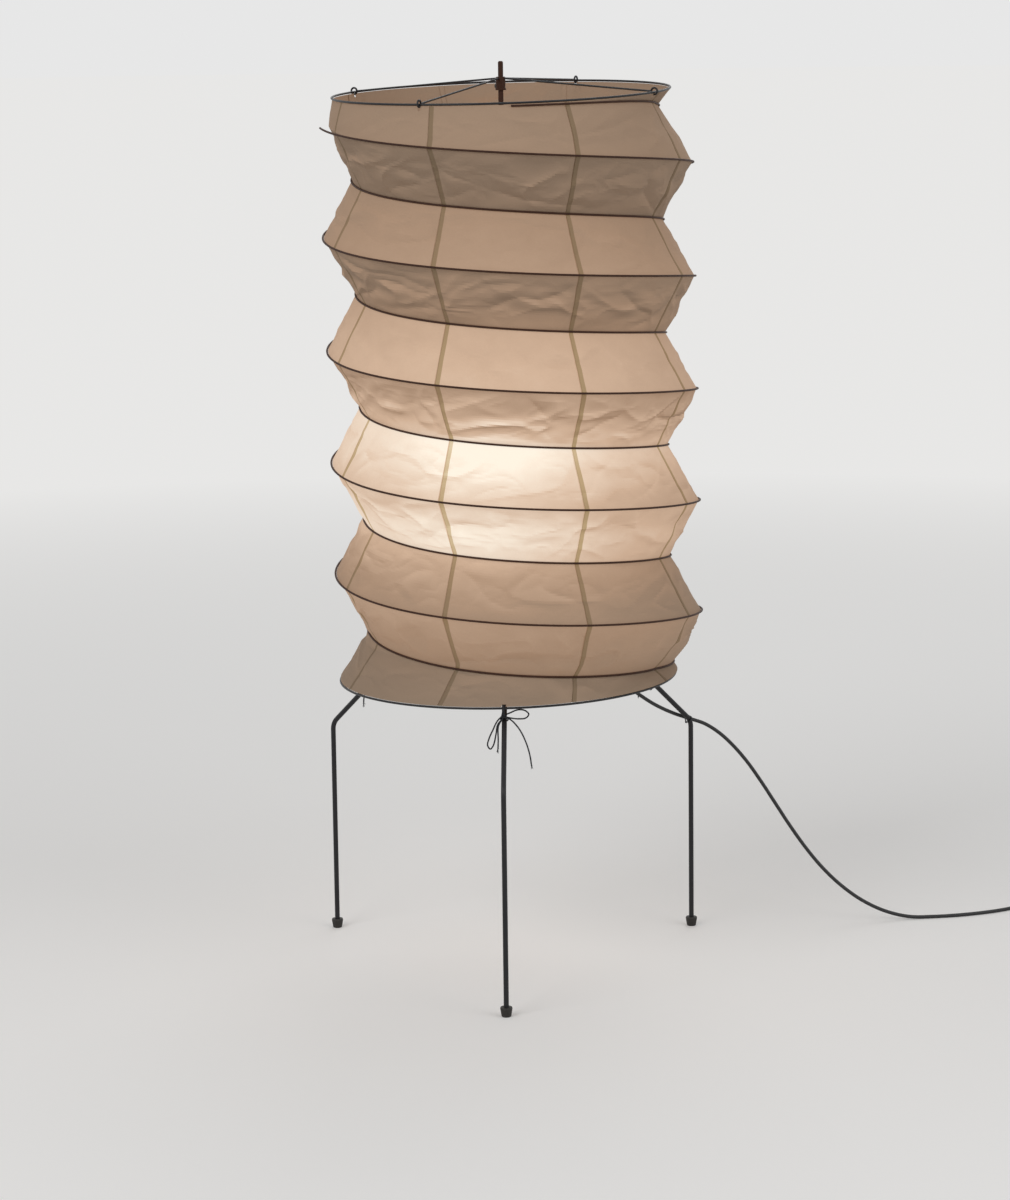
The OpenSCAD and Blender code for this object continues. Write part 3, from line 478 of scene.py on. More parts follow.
def paper_tree():
    """Crumples a folded sheet, works out how the lamp lights it, and gives it its thickness"""
    tree, board, given = new_tree("folded paper", {
        "Crumple": ("Float", 0.0016), "Crease": ("Float", 0.0011), "Thickness": ("Float", 0.0006),
        "Seed": ("Float", 0.0), "Lamp": ("Vector", (0.0, 0.0, 0.8)), "Direct": ("Float", 0.06),
        "Spread": ("Float", 0.12), "Hot": ("Float", 0.3), "Front": ("Float", 0.7),
        "Outside": ("Material", None), "Inside": ("Material", None)})
    place = board.add("GeometryNodeInputPosition")
    normal = board.add("GeometryNodeInputNormal")
    slack = board.named("slack")
    soft = board.noise(9.0, 2.0, 0.45, place, 0.0, given["Seed"])
    long_way = place * (0.8, 0.8, 1.7)
    # Creases are thin ridges and grooves, longer along the folds than across them
    raised, sunk, fine = (
        (1.0 - abs(board.noise(scale, 1.0, 0.5, long_way, 0.6, given["Seed"] + turn)
                   * 2.0 - 1.0) * 3.0).at_least(0.0) ** 1.8
        for scale, turn in ((8.5, 4.0), (7.0, 9.0), (19.0, 14.0)))
    ridges = raised - sunk + fine * 0.28 - 0.12
    lift = slack * ((soft - 0.5) * 2.0 * given["Crumple"] + ridges * given["Crease"])
    crumpled = board.moved(given["Geometry"], board.scaled(normal, lift))
    # The light on the paper, painted on as glow: cosine over distance squared, less below the
    # holder
    to_lamp = given["Lamp"] - place
    far = board.norm(to_lamp)
    drop = board.dot(to_lamp, Vector((0.0, 0.0, 1.0))) / far
    open_way = (1.30 - drop * 1.10).clamped()
    light = (board.dot(to_lamp, normal) * -1.0).at_least(0.0) / (far * far * far) * open_way
    # Painted brighter towards the front
    painted_front_bias, centre = ((board.dot(to_lamp, Vector(way)) / far).at_least(0.0)
                     for way in ((0.16, 0.987, 0.0), (0.03, 1.0, 0.0)))
    # A painted hot spot, kept mostly to the front
    hot = (light * 0.105).at_most(1.25) ** 4.0 * (1.0 - given["Front"] * (1.0 - centre ** 12.0))
    # Raised creases painted lighter and sunk ones darker
    glow = (light * given["Direct"] * (0.40 + painted_front_bias * 0.64) + given["Spread"] * (1.0 - drop * 0.45)
            + hot * given["Hot"]) * (1.0 + slack * ridges * 0.10)
    # Split edges keep the glow of the two walls of a fold apart
    split = board.add("GeometryNodeSplitEdges", None, {
        "Mesh": crumpled, "Selection": board.named("fold_edge", "BOOLEAN")})
    lit = board.add("GeometryNodeStoreNamedAttribute", {"data_type": "FLOAT", "domain": "CORNER"},
                    {"Geometry": split, "Name": "glow", "Value": glow})
    sharp = board.add("GeometryNodeSetShadeSmooth", {"domain": "EDGE"}, {
        "Geometry": board.merged(lit), "Selection": board.named("fold_edge", "BOOLEAN"),
        "Shade Smooth": False})
    outer = board.covered(sharp, given["Outside"])
    pushed = board.add("GeometryNodeExtrudeMesh", {"mode": "FACES"}, {
        "Mesh": sharp, "Offset Scale": given["Thickness"] * -1.0, "Individual": False})
    inner = board.covered(board.add("GeometryNodeFlipFaces", None, {"Mesh": pushed}),
                          given["Inside"])
    return end_tree(tree, board, board.merged(board.joined([inner, outer])))


def tree_of(name, maker):
    """The geometry tree of that name, made when first asked for"""
    return bpy.data.node_groups.get(name) or maker()


# --- meshes and lines
def placed(name, data):
    """A new object of the scene"""
    made = bpy.data.objects.new(name, data)
    bpy.context.scene.collection.objects.link(made)
    return made


def mesh_of(name, points, faces):
    """A new mesh"""
    mesh = bpy.data.meshes.new(name)
    mesh.from_pydata(points, [], faces)
    return mesh


def settle(name, data, tree, values):
    """Runs a geometry tree on a curve or mesh and returns its result as a plain mesh object"""
    source = placed(name + " source", data)
    modifier = source.modifiers.new("shape", "NODES")
    modifier.node_group = tree
    for item in tree.interface.items_tree:
        if item.in_out == "INPUT" and item.name in values:
            modifier[item.identifier] = values[item.name]
    bpy.context.view_layer.update()
    evaluated = source.evaluated_get(bpy.context.evaluated_depsgraph_get())
    mesh = bpy.data.meshes.new_from_object(evaluated)
    mesh.name = name
    source.modifiers.clear()
    bpy.data.objects.remove(source)
    return placed(name, mesh)


def curve_of(name, lines):
    """A curve with one straight-pieced line for each list of points"""
    data = bpy.data.curves.new(name, "CURVE")
    data.dimensions = "3D"
    for points in lines:
        spline = data.splines.new("POLY")
        spline.points.add(len(points) - 1)
        flat = np.ones((len(points), 4))
        flat[:, :3] = points
        spline.points.foreach_set("co", flat.ravel())
    return data


def round_wire(name, lines, diameter, slot, sides):
    """Round wire along lines of points"""
    return settle(name, curve_of(name, lines), tree_of("round wire", wire_tree),
                  {"Radius": diameter / 2, "Sides": sides, "Finish": finish_of(slot)})


def twisted_string(name, lines, diameter):
    """Twisted string along lines of points"""
    return settle(name, curve_of(name, lines), tree_of("twisted string", string_tree),
                  {"Diameter": diameter, "Finish": finish_of("string")})


def smooth_line(points, step):
    """Points at about that step along a smooth curve through the given ones"""
    p = np.asarray(points, float)
    ends = np.vstack([2 * p[0] - p[1], p, 2 * p[-1] - p[-2]])
    out = []
    for i in range(len(p) - 1):
        a, b, c, d = ends[i:i + 4]
        knots = np.cumsum([0] + [max(np.linalg.norm(y - x), 1e-6) ** 0.5
                                 for x, y in ((a, b), (b, c), (c, d))])
        count = max(2, int(np.linalg.norm(c - b) / step))
        for t in np.linspace(knots[1], knots[2], count, endpoint=False):
            def blend(x, y, k0, k1):
                return (k1 - t) / (k1 - k0) * x + (t - k0) / (k1 - k0) * y
            ab, bc, cd = (blend(a, b, knots[0], knots[1]), blend(b, c, knots[1], knots[2]),
                          blend(c, d, knots[2], knots[3]))
            abc, bcd = blend(ab, bc, knots[0], knots[2]), blend(bc, cd, knots[1], knots[3])
            out.append(blend(abc, bcd, knots[1], knots[2]))
    return np.array(out + [p[-1]])


def unit(way):
    """A way as long as 1"""
    return way / np.linalg.norm(way)


def turned(points, degrees):
    """Points turned about the upright axis"""
    a = math.radians(degrees)
    p = np.asarray(points, float)
    return np.stack([p[:, 0] * math.cos(a) - p[:, 1] * math.sin(a),
                     p[:, 0] * math.sin(a) + p[:, 1] * math.cos(a), p[:, 2]], axis=1)


def on_stand(piece):
    """The piece rides on the stand"""
    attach(piece, "stand")


# --- the folded surface
class Folds:
    """The double spiral of folds: even folds go inward, odd ones outward"""

    def __init__(self, sizes):
        self.peak_r = sizes.peak_radius
        self.valley_r = sizes.valley_radius
        self.pitch = sizes.fold_pitch

    @staticmethod
    def top(t):
        return TOP_Z + TOP_DIP_LEFT * np.sin(t) - TOP_DIP_FRONT * np.cos(t)

    @staticmethod
    def low(t):
        return LOW_Z + LOW_DIP_LEFT * np.sin(t)

    @staticmethod
    def soft(depth):
        return RING_ROOM + RING_SOFT * np.log1p(np.exp((depth - RING_ROOM) / RING_SOFT))

    def line(self, k, t):
        return (FIRST_FOLD_Z - self.pitch * (k / 2 + t / math.tau)
                + FOLD_RISE * np.sin(t) - FOLD_DIP * np.cos(t))

    def height(self, k, t):
        under_top = self.top(t) - self.soft(self.top(t) - self.line(k, t))
        return self.low(t) + self.soft(under_top - self.low(t))

    def full_radius(self, k):
        return self.peak_r if abs(k) % 2 == 1 else self.valley_r

    def flat_radius(self, end, ring_r, k, t, z):
        share = np.clip((z - end) / (self.height(k, t) - end), 0, 1)
        return ring_r + (self.full_radius(k) - ring_r) * share

    def radius(self, k, t):
        z = self.height(k, t)
        down, up = self.top(t) - z, z - self.low(t)
        plain = np.where(
            down < up,
            self.flat_radius(self.top(t) - EDGE_ROOM, TOP_R, k + 1, t, z),
            self.flat_radius(self.low(t) + EDGE_ROOM, LOW_R, k - 1, t, z))
        if abs(k) % 2 == 1:
            near_top = (down - PEAK_STARTS) / (PEAK_FULL - PEAK_STARTS)
            near_low = (up - LOW_STARTS) / LOW_PEAK_FULL
        else:
            near_top = (down - VALLEY_STARTS) / (VALLEY_FULL - VALLEY_STARTS)
            near_low = (up - LOW_STARTS) / LOW_VALLEY_FULL
        share = np.clip(near_top, 0, 1) * np.clip(near_low, 0, 1)
        return plain + (self.full_radius(k) - plain) * share

    def inside(self, first, last):
        """Folds that cross the gore between two azimuths"""
        found = []
        for k in FOLD_NUMBERS:
            ends = self.line(k, np.array([first, (first + last) / 2, last]))
            if (ends.min() < self.top(first) + FOLD_MARGIN
                    and ends.max() > self.low(first) - FOLD_MARGIN):
                found.append(k)
        return found

    def profile(self, folds, t):
        """(radius, height) rows from the upper edge over the folds to the lower edge"""
        radii = [TOP_R + 0 * t] + [self.radius(k, t) for k in folds] + [LOW_R + 0 * t]
        heights = ([self.top(t) - EDGE_ROOM - EDGE_TRIM] + [self.height(k, t) for k in folds]
                   + [self.low(t) + EDGE_ROOM + EDGE_TRIM])
        return np.stack(radii), np.stack(heights)

    @staticmethod
    def point(r, t, z):
        share = np.clip((z - LOW_Z) / (TOP_Z - LOW_Z), 0, 1)
        sway = ((SWAY_LOW + (SWAY_TOP - SWAY_LOW) * share)
                * np.clip((TOP_Z - z) / SWAY_EDGE, 0, 1) * np.clip((z - LOW_Z) / SWAY_EDGE, 0, 1))
        return np.stack([r * np.sin(t) + sway, -r * np.cos(t), z + 0 * t], axis=-1)

    def seat(self, k, t, room):
        """(radius, height) of the middle of a wire that lies against the outside of fold k"""
        def at(j, inside_ring, edge_r, edge_z):
            return np.where(inside_ring, np.stack([self.radius(j, t), self.height(j, t)]),
                            np.stack([edge_r + 0 * t, edge_z]))
        here = np.stack([self.radius(k, t), self.height(k, t)])
        over = at(k - 1, self.line(k - 1, t) < self.top(t), TOP_R, self.top(t) - EDGE_ROOM) - here
        under = at(k + 1, self.line(k + 1, t) > self.low(t), LOW_R, self.low(t) + EDGE_ROOM) - here
        over, under = (v / np.linalg.norm(v, axis=0) for v in (over, under))
        along = (over - under) / np.linalg.norm(over - under, axis=0)
        outward = np.stack([along[1], -along[0]])
        if abs(k) % 2 == 1:
            return here + room * outward
        half = np.arccos(np.clip((over * under).sum(axis=0), -1, 1)) / 2
        return here + room / np.sin(half) * outward


# The gores' mesh: slit and last step at a seam in degrees, gap under a lap, height at which a
# notch is placed, and its least distance from a plain column in radians
SLIT, LAP_STEP, LAP_GAP, NOTCH_Z, NOTCH_CLEAR = 0.03, 0.25, 0.0006, 0.004, 0.002
# How loose the paper is in the lowest band, in bands that lean in, in the others and at a seam,
# the height of a band that is fully loose, and how far a seam stiffens the paper in radians
SLACK_LOWEST, SLACK_IN, SLACK_OUT, SLACK_SEAM = 1.7, 1.25, 0.62, 0.45
BAND_FULL, SEAM_REACH = 0.08, 0.06


def gore_sheet(index, sizes):
    """One gore as an open sheet: its columns run down the shade, its rows along the folds"""
    folds = Folds(sizes)
    first = math.radians(GORE_START + index * GORE_STEP)
    last = math.radians(GORE_START + (index + 1) * GORE_STEP)
    lap = sizes.lap / folds.peak_r
    slit, lap_step = math.radians(SLIT), math.radians(LAP_STEP)
    steps = round(GORE_STEP / sizes.column_step)
    azimuths = [first + slit] + [first + (last - first) * i / steps for i in range(1, steps)]
    seam = last - slit

    def unswayed(turn, top):
        """Where the sheet has the column that sways to that azimuth near its edge"""
        z = folds.top(turn) - NOTCH_Z if top else folds.low(turn) + NOTCH_Z
        return turn - float(folds.point(0.0, turn, z)[0]) * math.cos(turn) / TOP_R

    notches = [(unswayed(math.radians(turn + full), top), half, top)
               for turns, half, top in ((SPOKE_TURNS, EYE_NOTCH / 2, True),
                                        (LEG_TURNS.values(), TIE_NOTCH / 2, False))
               for turn in turns for full in (0, 360)
               if first < math.radians(turn + full) < last + lap]
    cuts = [turn + side * half / TOP_R for turn, half, _ in notches for side in (-1, 1)]
    azimuths = ([a for a in azimuths + [last + lap / 2]
                 if all(abs(a - c) > NOTCH_CLEAR for c in cuts)]
                + cuts + [last - lap_step, seam, last + lap])
    t = np.array(sorted(azimuths))
    drop = np.where(t >= seam, sizes.paper + SEAT + LAP_GAP, 0.0)
    inside = folds.inside(first, last)
    radii, heights = folds.profile(inside, t)
    rows = sizes.band_rows
    points, slack, fold_row = [], [], []
    for band in range(len(radii) - 1):
        # A band whose upper edge is an outward fold leans in, and creases more
        leans_in = band > 0 and abs(inside[band - 1]) % 2 == 1
        loose = (SLACK_LOWEST if band == len(radii) - 2 else SLACK_IN if leans_in
                 else SLACK_OUT)
        for row in range(rows):
            v = row / rows
            r = radii[band] + (radii[band + 1] - radii[band]) * v
            z = heights[band] + (heights[band + 1] - heights[band]) * v
            points.append(folds.point(r - drop, t, z))
            size = np.clip((heights[band] - heights[band + 1]) / BAND_FULL, 0, 1)
            wave = math.sin(math.pi * v) ** 1.1
            slack.append(wave * size * loose)
            fold_row.append(row == 0 and band > 0)
    points.append(folds.point(radii[-1] - drop, t, heights[-1]))
    slack.append(0 * t)
    fold_row.append(False)
    points, slack = np.array(points), np.array(slack)
    count, wide = points.shape[:2]
    # Glue stiffens the seams
    from_seam = np.broadcast_to((t - first) * folds.peak_r, (count, wide))
    nearest = np.minimum(t - first, np.abs(last - t))
    slack = slack * np.clip(SLACK_SEAM + nearest / SEAM_REACH, 0, 1)
    z = points[:, :, 2]

    def is_cut(i, j):
        """A cell that an eye of a spoke or a tie string goes through"""
        middle = (t[j] + t[j + 1]) / 2
        for turn, half, top in notches:
            if abs(middle - turn) < half / TOP_R:
                if top and z[i, j] > folds.top(turn) - EYE_DEPTH:
                    return True
                if not top and z[i + 1, j] < folds.low(turn) + TIE_DEPTH:
                    return True
        return False

    faces = [(i * wide + j, (i + 1) * wide + j, (i + 1) * wide + j + 1, i * wide + j + 1)
             for i in range(count - 1) for j in range(wide - 1) if not is_cut(i, j)]
    mesh = mesh_of("gore sheet", points.reshape(-1, 3).tolist(), faces)
    for name, values in (("slack", slack), ("from_seam", from_seam)):
        mesh.attributes.new(name, "FLOAT", "POINT").data.foreach_set(
            "value", np.ascontiguousarray(values, np.float32).ravel())
    ends = np.zeros(len(mesh.edges) * 2, np.int32)
    mesh.edges.foreach_get("vertices", ends)
    edge_rows = ends.reshape(-1, 2) // wide
    on_fold = (edge_rows[:, 0] == edge_rows[:, 1]) & np.array(fold_row)[edge_rows[:, 0]]
    mesh.attributes.new("fold_edge", "BOOLEAN", "EDGE").data.foreach_set("value", on_fold)
    return mesh


def with_the_shade(piece):
    """The piece rides on the stand, with a mesh of its own"""
    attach(piece, "stand")
    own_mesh(piece)


# --- operators
class PieceOperator(bpy.types.Operator):
    """A step that makes pieces of the lamp"""
    bl_options = {"REGISTER", "UNDO"}


class LAMP_OT_stage(PieceOperator):
    """Camera at the photograph's angle, pale floor with a backdrop, and soft studio light"""
    bl_idname = "paper_lamp.stage"
    bl_label = "Stage"

    def execute(self, context):
        scene = context.scene
        look = scene.lamp_stage
        camera = placed("camera", bpy.data.cameras.new("camera"))
        camera.data.lens = look.lens
        camera.data.sensor_width = 36.0
        camera.data.clip_end = 100.0
        camera.matrix_world = (Matrix.Translation(look.place)
                               @ Matrix.Rotation(look.yaw, 4, "Z")
                               @ Matrix.Rotation(math.pi / 2 - look.pitch, 4, "X")
                               @ Matrix.Rotation(look.roll, 4, "Z"))
        scene.camera = camera
        floor = self.backdrop(look)
        lamps = [self.area("key", (-2.6, -3.2, 3.3), 2.6, look.key),
                 self.area("fill", (3.1, -2.2, 2.2), 2.2, look.fill),
                 self.area("back", (0.6, 2.6, 3.1), 2.0, look.fill * 0.6)]
        self.sky(scene, look)
        scene.view_settings.view_transform = "Standard"
        return {"FINISHED"}

    @staticmethod
    def backdrop(look):
        """A wide round floor that keeps the lamp's shadow and fades to the pale background"""
        sides = 96
        around = [math.tau * i / sides for i in range(sides)]
        points = [(0.0, 0.0, 0.0)] + [(FLOOR_R * math.cos(a), FLOOR_R * math.sin(a), 0.0)
                                      for a in around]
        faces = [(0, i + 1, (i + 1) % sides + 1) for i in range(sides)]
        floor = placed("floor", mesh_of("floor", points, faces))
        made, board, shader, where = new_finish("pale floor")
        faded = ((board.norm(where) - FADE_FROM) / FADE_OVER).clamped()
        pale = tuple(look.floor_colour)
        board.fill(shader, {
            "Base Color": board.mix(faded, pale, (0.0, 0.0, 0.0)),
            "Roughness": 0.9, "Specular IOR Level": 0.0, "Emission Color": pale,
            "Emission Strength": seen_directly(board.tree)
                                 * (FLOOR_GLOW + faded * (BACKGROUND / pale[1] - FLOOR_GLOW))})
        floor.data.materials.append(made)
        return floor

    @staticmethod
    def area(name, place, size, power):
        """A square soft lamp that faces the middle of the shade"""
        data = bpy.data.lights.new(name, "AREA")
        data.size = size
        data.energy = power
        lamp = placed(name, data)
        way = SHADE_MIDDLE - Vector(place)
        lamp.matrix_world = (Matrix.Translation(place)
                             @ way.to_track_quat("-Z", "Y").to_matrix().to_4x4())
        return lamp

    @staticmethod
    def sky(scene, look):
        """Even light from all round, white where it is seen"""
        world = scene.world or bpy.data.worlds.new("sky")
        scene.world = world
        world.use_nodes = True
        seen = seen_directly(world.node_tree)
        ground = world.node_tree.nodes["Background"]
        ground.inputs["Color"].default_value = (1.0, 1.0, 1.0, 1.0)
        feed(world.node_tree, ground.inputs["Strength"],
             look.sky + seen * (BACKGROUND - look.sky))


class LAMP_OT_mains_cord(PieceOperator):
    """Mains cord from the lamp holder over the right leg to the switch, the coil and the plug"""
    bl_idname = "paper_lamp.mains_cord"
    bl_label = "Mains cord"

    # Routes in millimetres: down to the leg, on to the switch, on to the coil, then to the plug
    INNER = [(0, 46, 689), (0, 46, 664), (0, 46, 642), (4, 48, 622), (13, 52, 603), (29, 59, 581),
             (55, 71, 551), (87, 85, 517), (123, 101, 480), (160, 118, 444), (198, 135, 411),
             (235, 152, 382), (266, 166, 364), (293, 178, 352)]
    OUTER = [(320, 190, 340), (344, 197, 323), (366, 199, 302), (390, 202, 273),
             (414, 203, 238), (438, 203, 200), (463, 201, 161), (489, 199, 124), (517, 197, 90),
             (548, 196, 60), (582, 196, 35), (620, 197, 16), (661, 200, 5), (703, 206, 3),
             (744, 214, 3), (783, 227, 3), (819, 244, 3), (851, 266, 3), (878, 292, 3),
             (898, 317, 4.5), (909, 334, 6.5), (915, 348, 7), (915, 356, 7)]
    LINK = [(915, 418, 7), (915, 426, 7), (915, 436, 4), (915, 444, 3), (915, 450, 3)]
    END = [(1003, 450, 9.6), (1003, 442, 9.6), (1002.5, 430, 9.2), (1000.5, 416, 8.4),
           (997.5, 402, 7.7), (994.5, 390, 7.5), (993, 381, 7.5), (993, 374, 7.5)]
    COIL_CENTRE, COIL_R, COIL_STEP, COIL_LOOPS, COIL_POINTS = (959, 456), 44, 6.6, 2.5, 72
    # A strain relief in metres: length, radii at root and tip, sides, ribs with their depth and
    # share of the length, and how far it stands off the housing, the cord inside and the floor
    SLEEVE_LENGTH, SLEEVE_ROOT, SLEEVE_TIP, SLEEVE_SIDES = 0.022, 0.0050, 0.0034, 24
    RIBS, RIB_DEPTH, RIB_SHARE = 5, 0.0004, 0.62
    OFF_HOUSING, OFF_CORD, OFF_FLOOR = 0.0010, 0.00012, 0.0001

    def coil(self):
        """Loops that wind inward on the floor and outward on top, in millimetres"""
        turns = 2 * self.COIL_LOOPS + 0.5
        u = np.linspace(0, turns, int(turns * self.COIL_POINTS) + 1)
        r = self.COIL_R - self.COIL_STEP * np.minimum(u, turns - u)
        w = np.clip((u - self.COIL_LOOPS) / 0.5, 0, 1)
        z = CORD_D * 500 + self.COIL_STEP * (3 * w * w - 2 * w ** 3)
        a = np.pi - math.tau * u
        return np.stack([self.COIL_CENTRE[0] + r * np.cos(a),
                         self.COIL_CENTRE[1] + r * np.sin(a), z], axis=1)

    def relief(self, name, path):
        """Tapered, ribbed strain relief round a cord, from the housing at the path's start"""
        around = self.SLEEVE_SIDES
        line = smooth_line(path[:12], 0.0002)
        along = np.concatenate([[0], np.cumsum(np.linalg.norm(np.diff(line, axis=0), axis=1))])
        s = np.linspace(self.OFF_HOUSING, self.SLEEVE_LENGTH, 61)
        middle = np.stack([np.interp(s, along, line[:, i]) for i in range(3)], axis=1)
        way = np.gradient(middle, axis=0)
        way /= np.linalg.norm(way, axis=1)[:, None]
        side = np.cross(way, (0, 0, 1))
        side /= np.linalg.norm(side, axis=1)[:, None]
        up = np.cross(side, way)
        part = s / self.SLEEVE_LENGTH
        root, tip = self.SLEEVE_ROOT, self.SLEEVE_TIP
        grooved = (part * self.RIBS) % 1 > self.RIB_SHARE
        radius = root + (tip - root) * part - self.RIB_DEPTH * grooved
        radius = np.clip(radius, CORD_D / 2 + SEAT, middle[:, 2] - self.OFF_FLOOR)
        turn = np.linspace(0, math.tau, around, endpoint=False)
        rings = []
        for r in (radius, np.full_like(s, CORD_D / 2 + self.OFF_CORD)):
            rings.append(middle[:, None] + r[:, None, None]
                         * (np.cos(turn)[None, :, None] * side[:, None]
                            + np.sin(turn)[None, :, None] * up[:, None]))
        points = np.concatenate([rings[0], rings[1][::-1]])
        count = len(points)
        faces = [(i * around + j, i * around + (j + 1) % around,
                  (i + 1) % count * around + (j + 1) % around, (i + 1) % count * around + j)
                 for i in range(count) for j in range(around)]
        mesh = mesh_of(name, points.reshape(-1, 3).tolist(), faces)
        solid = bmesh.new()
        solid.from_mesh(mesh)
        bmesh.ops.recalc_face_normals(solid, faces=solid.faces)
        solid.to_mesh(mesh)
        solid.free()
        mesh.materials.append(finish_of("cord_plastic"))
        piece = placed(name, mesh)
        on_stand(piece)
        return piece

    def execute(self, context):
        lamp_end, link, end = (smooth_line(np.array(route) / 1000, CORD_STEP)
                               for route in (self.INNER + self.OUTER, self.LINK, self.END))
        plug_end = np.vstack([link[:-1], self.coil() / 1000, end[1:]])
        first = round_wire("mains_cord_lamp_end", [lamp_end], CORD_D, "cord_jacket", 16)
        second = round_wire("mains_cord_plug_end", [plug_end], CORD_D, "cord_jacket", 16)
        for piece in (first, second):
            on_stand(piece)
        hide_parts("cord_inner", "cord_outer")
        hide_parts("cord_link", "cord_coil", "cord_end")
        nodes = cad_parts
        dress(["switch_base", "switch_cover", "switch_rocker", "plug_body"], "cord_plastic")
        dress(["plug_blades"], "brass")
        dress(["rocker_pin"], "lamp_metal")
        switch = [nodes[n] for n in ("switch_base", "switch_cover", "switch_rocker", "rocker_pin")]
        switch.append(self.relief("switch_relief_in", lamp_end[::-1]))
        plug = [nodes[n] for n in ("plug_body", "plug_blades")]
        plug += [self.relief("switch_relief_out", plug_end),
                 self.relief("plug_relief", plug_end[::-1])]
        return {"FINISHED"}


class LAMP_OT_stand(PieceOperator):
    """Finishes of the legs, feet, rod, rings, spokes and hub"""
    bl_idname = "paper_lamp.stand"
    bl_label = "Stand and top frame"

    def execute(self, context):
        dress(["leg_front", "leg_right", "leg_left", "arm_boss", "top_ring", "low_ring",
               "spoke_front", "spoke_right", "spoke_back", "spoke_left", "clamp_screw"],
              "black_wire")
        dress(["centre_rod", "sliding_hub"], "brown_wire")
        dress(["foot_front", "foot_right", "foot_left"], "foot_cup")
        return {"FINISHED"}


class LAMP_OT_lamp(PieceOperator):
    """Finishes of the lamp holder and the lamp"""
    bl_idname = "paper_lamp.lamp"
    bl_label = "Lamp holder and lamp"

    def execute(self, context):
        dress(["holder_strap", "holder_nut"], "black_wire")
        dress(["holder_nipple", "holder_sleeve", "holder_contact"], "brass")
        dress(["holder_cap", "holder_skirt", "strain_relief"], "holder_shell")
        dress(["holder_insulator"], "insulator")
        dress(["lamp_base", "lamp_contact"], "lamp_metal")
        dress(["lamp_glass"], "lamp_glass")
        return {"FINISHED"}


class LAMP_OT_paper(PieceOperator):
    """Eight gores of crumpled paper, folded on a double spiral"""
    bl_idname = "paper_lamp.paper"
    bl_label = "Folded paper"

    def execute(self, context):
        sizes, look = context.scene.lamp_shade, context.scene.lamp_glow
        tree = tree_of("folded paper", paper_tree)
        values = {"Crumple": sizes.crumple, "Crease": sizes.crease, "Thickness": sizes.paper,
                  "Seed": sizes.seed, "Lamp": LAMP_AT, "Direct": look.direct,
                  "Spread": look.spread, "Hot": look.hot, "Front": look.front,
                  "Outside": finish_of("paper"), "Inside": finish_of("paper_inside")}
        for index in range(GORES):
            name = f"gore_{index + 1}"
            piece = settle("paper_" + name, gore_sheet(index, sizes), tree, values)
            with_the_shade(piece)
            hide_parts(name)
        return {"FINISHED"}


class LAMP_OT_ribs(PieceOperator):
    """The two long wires that lie in the outward and in the inward folds"""
    bl_idname = "paper_lamp.ribs"
    bl_label = "Rib wires"

    # Steps of the CAD's wires in degrees, points to a step, and where the free end meets the fold
    STEP, PARTS, FREE_UNTIL = 9, 6, 318

    def execute(self, context):
        sizes = context.scene.lamp_shade
        folds = Folds(sizes)
        room = sizes.rib / 2 + SEAT
        step = math.radians(self.STEP)
        for name, k, first, low, node in (
                ("outward_rib", -1, GORE_START + 29 * self.STEP, 0.012, "peak_rib"),
                ("inward_rib", 0, GORE_START - 2 * self.STEP, -0.008, "valley_rib")):
            start = math.radians(first)
            count = math.floor((math.tau * ((FIRST_FOLD_Z - LOW_Z - low) / folds.pitch - k / 2)
                                - start) / step)
            t = start + np.arange(count * self.PARTS + 1) * step / self.PARTS
            r, z = folds.seat(k, t, room)
            if k == -1:
                free = t < math.radians(self.FREE_UNTIL)
                r = np.where(free, folds.peak_r + room, r)
                z = np.where(free, folds.height(k, t), z)
            piece = round_wire(name, [folds.point(r, t, z)], sizes.rib, "brown_wire", 10)
            with_the_shade(piece)
            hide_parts(node)
        return {"FINISHED"}


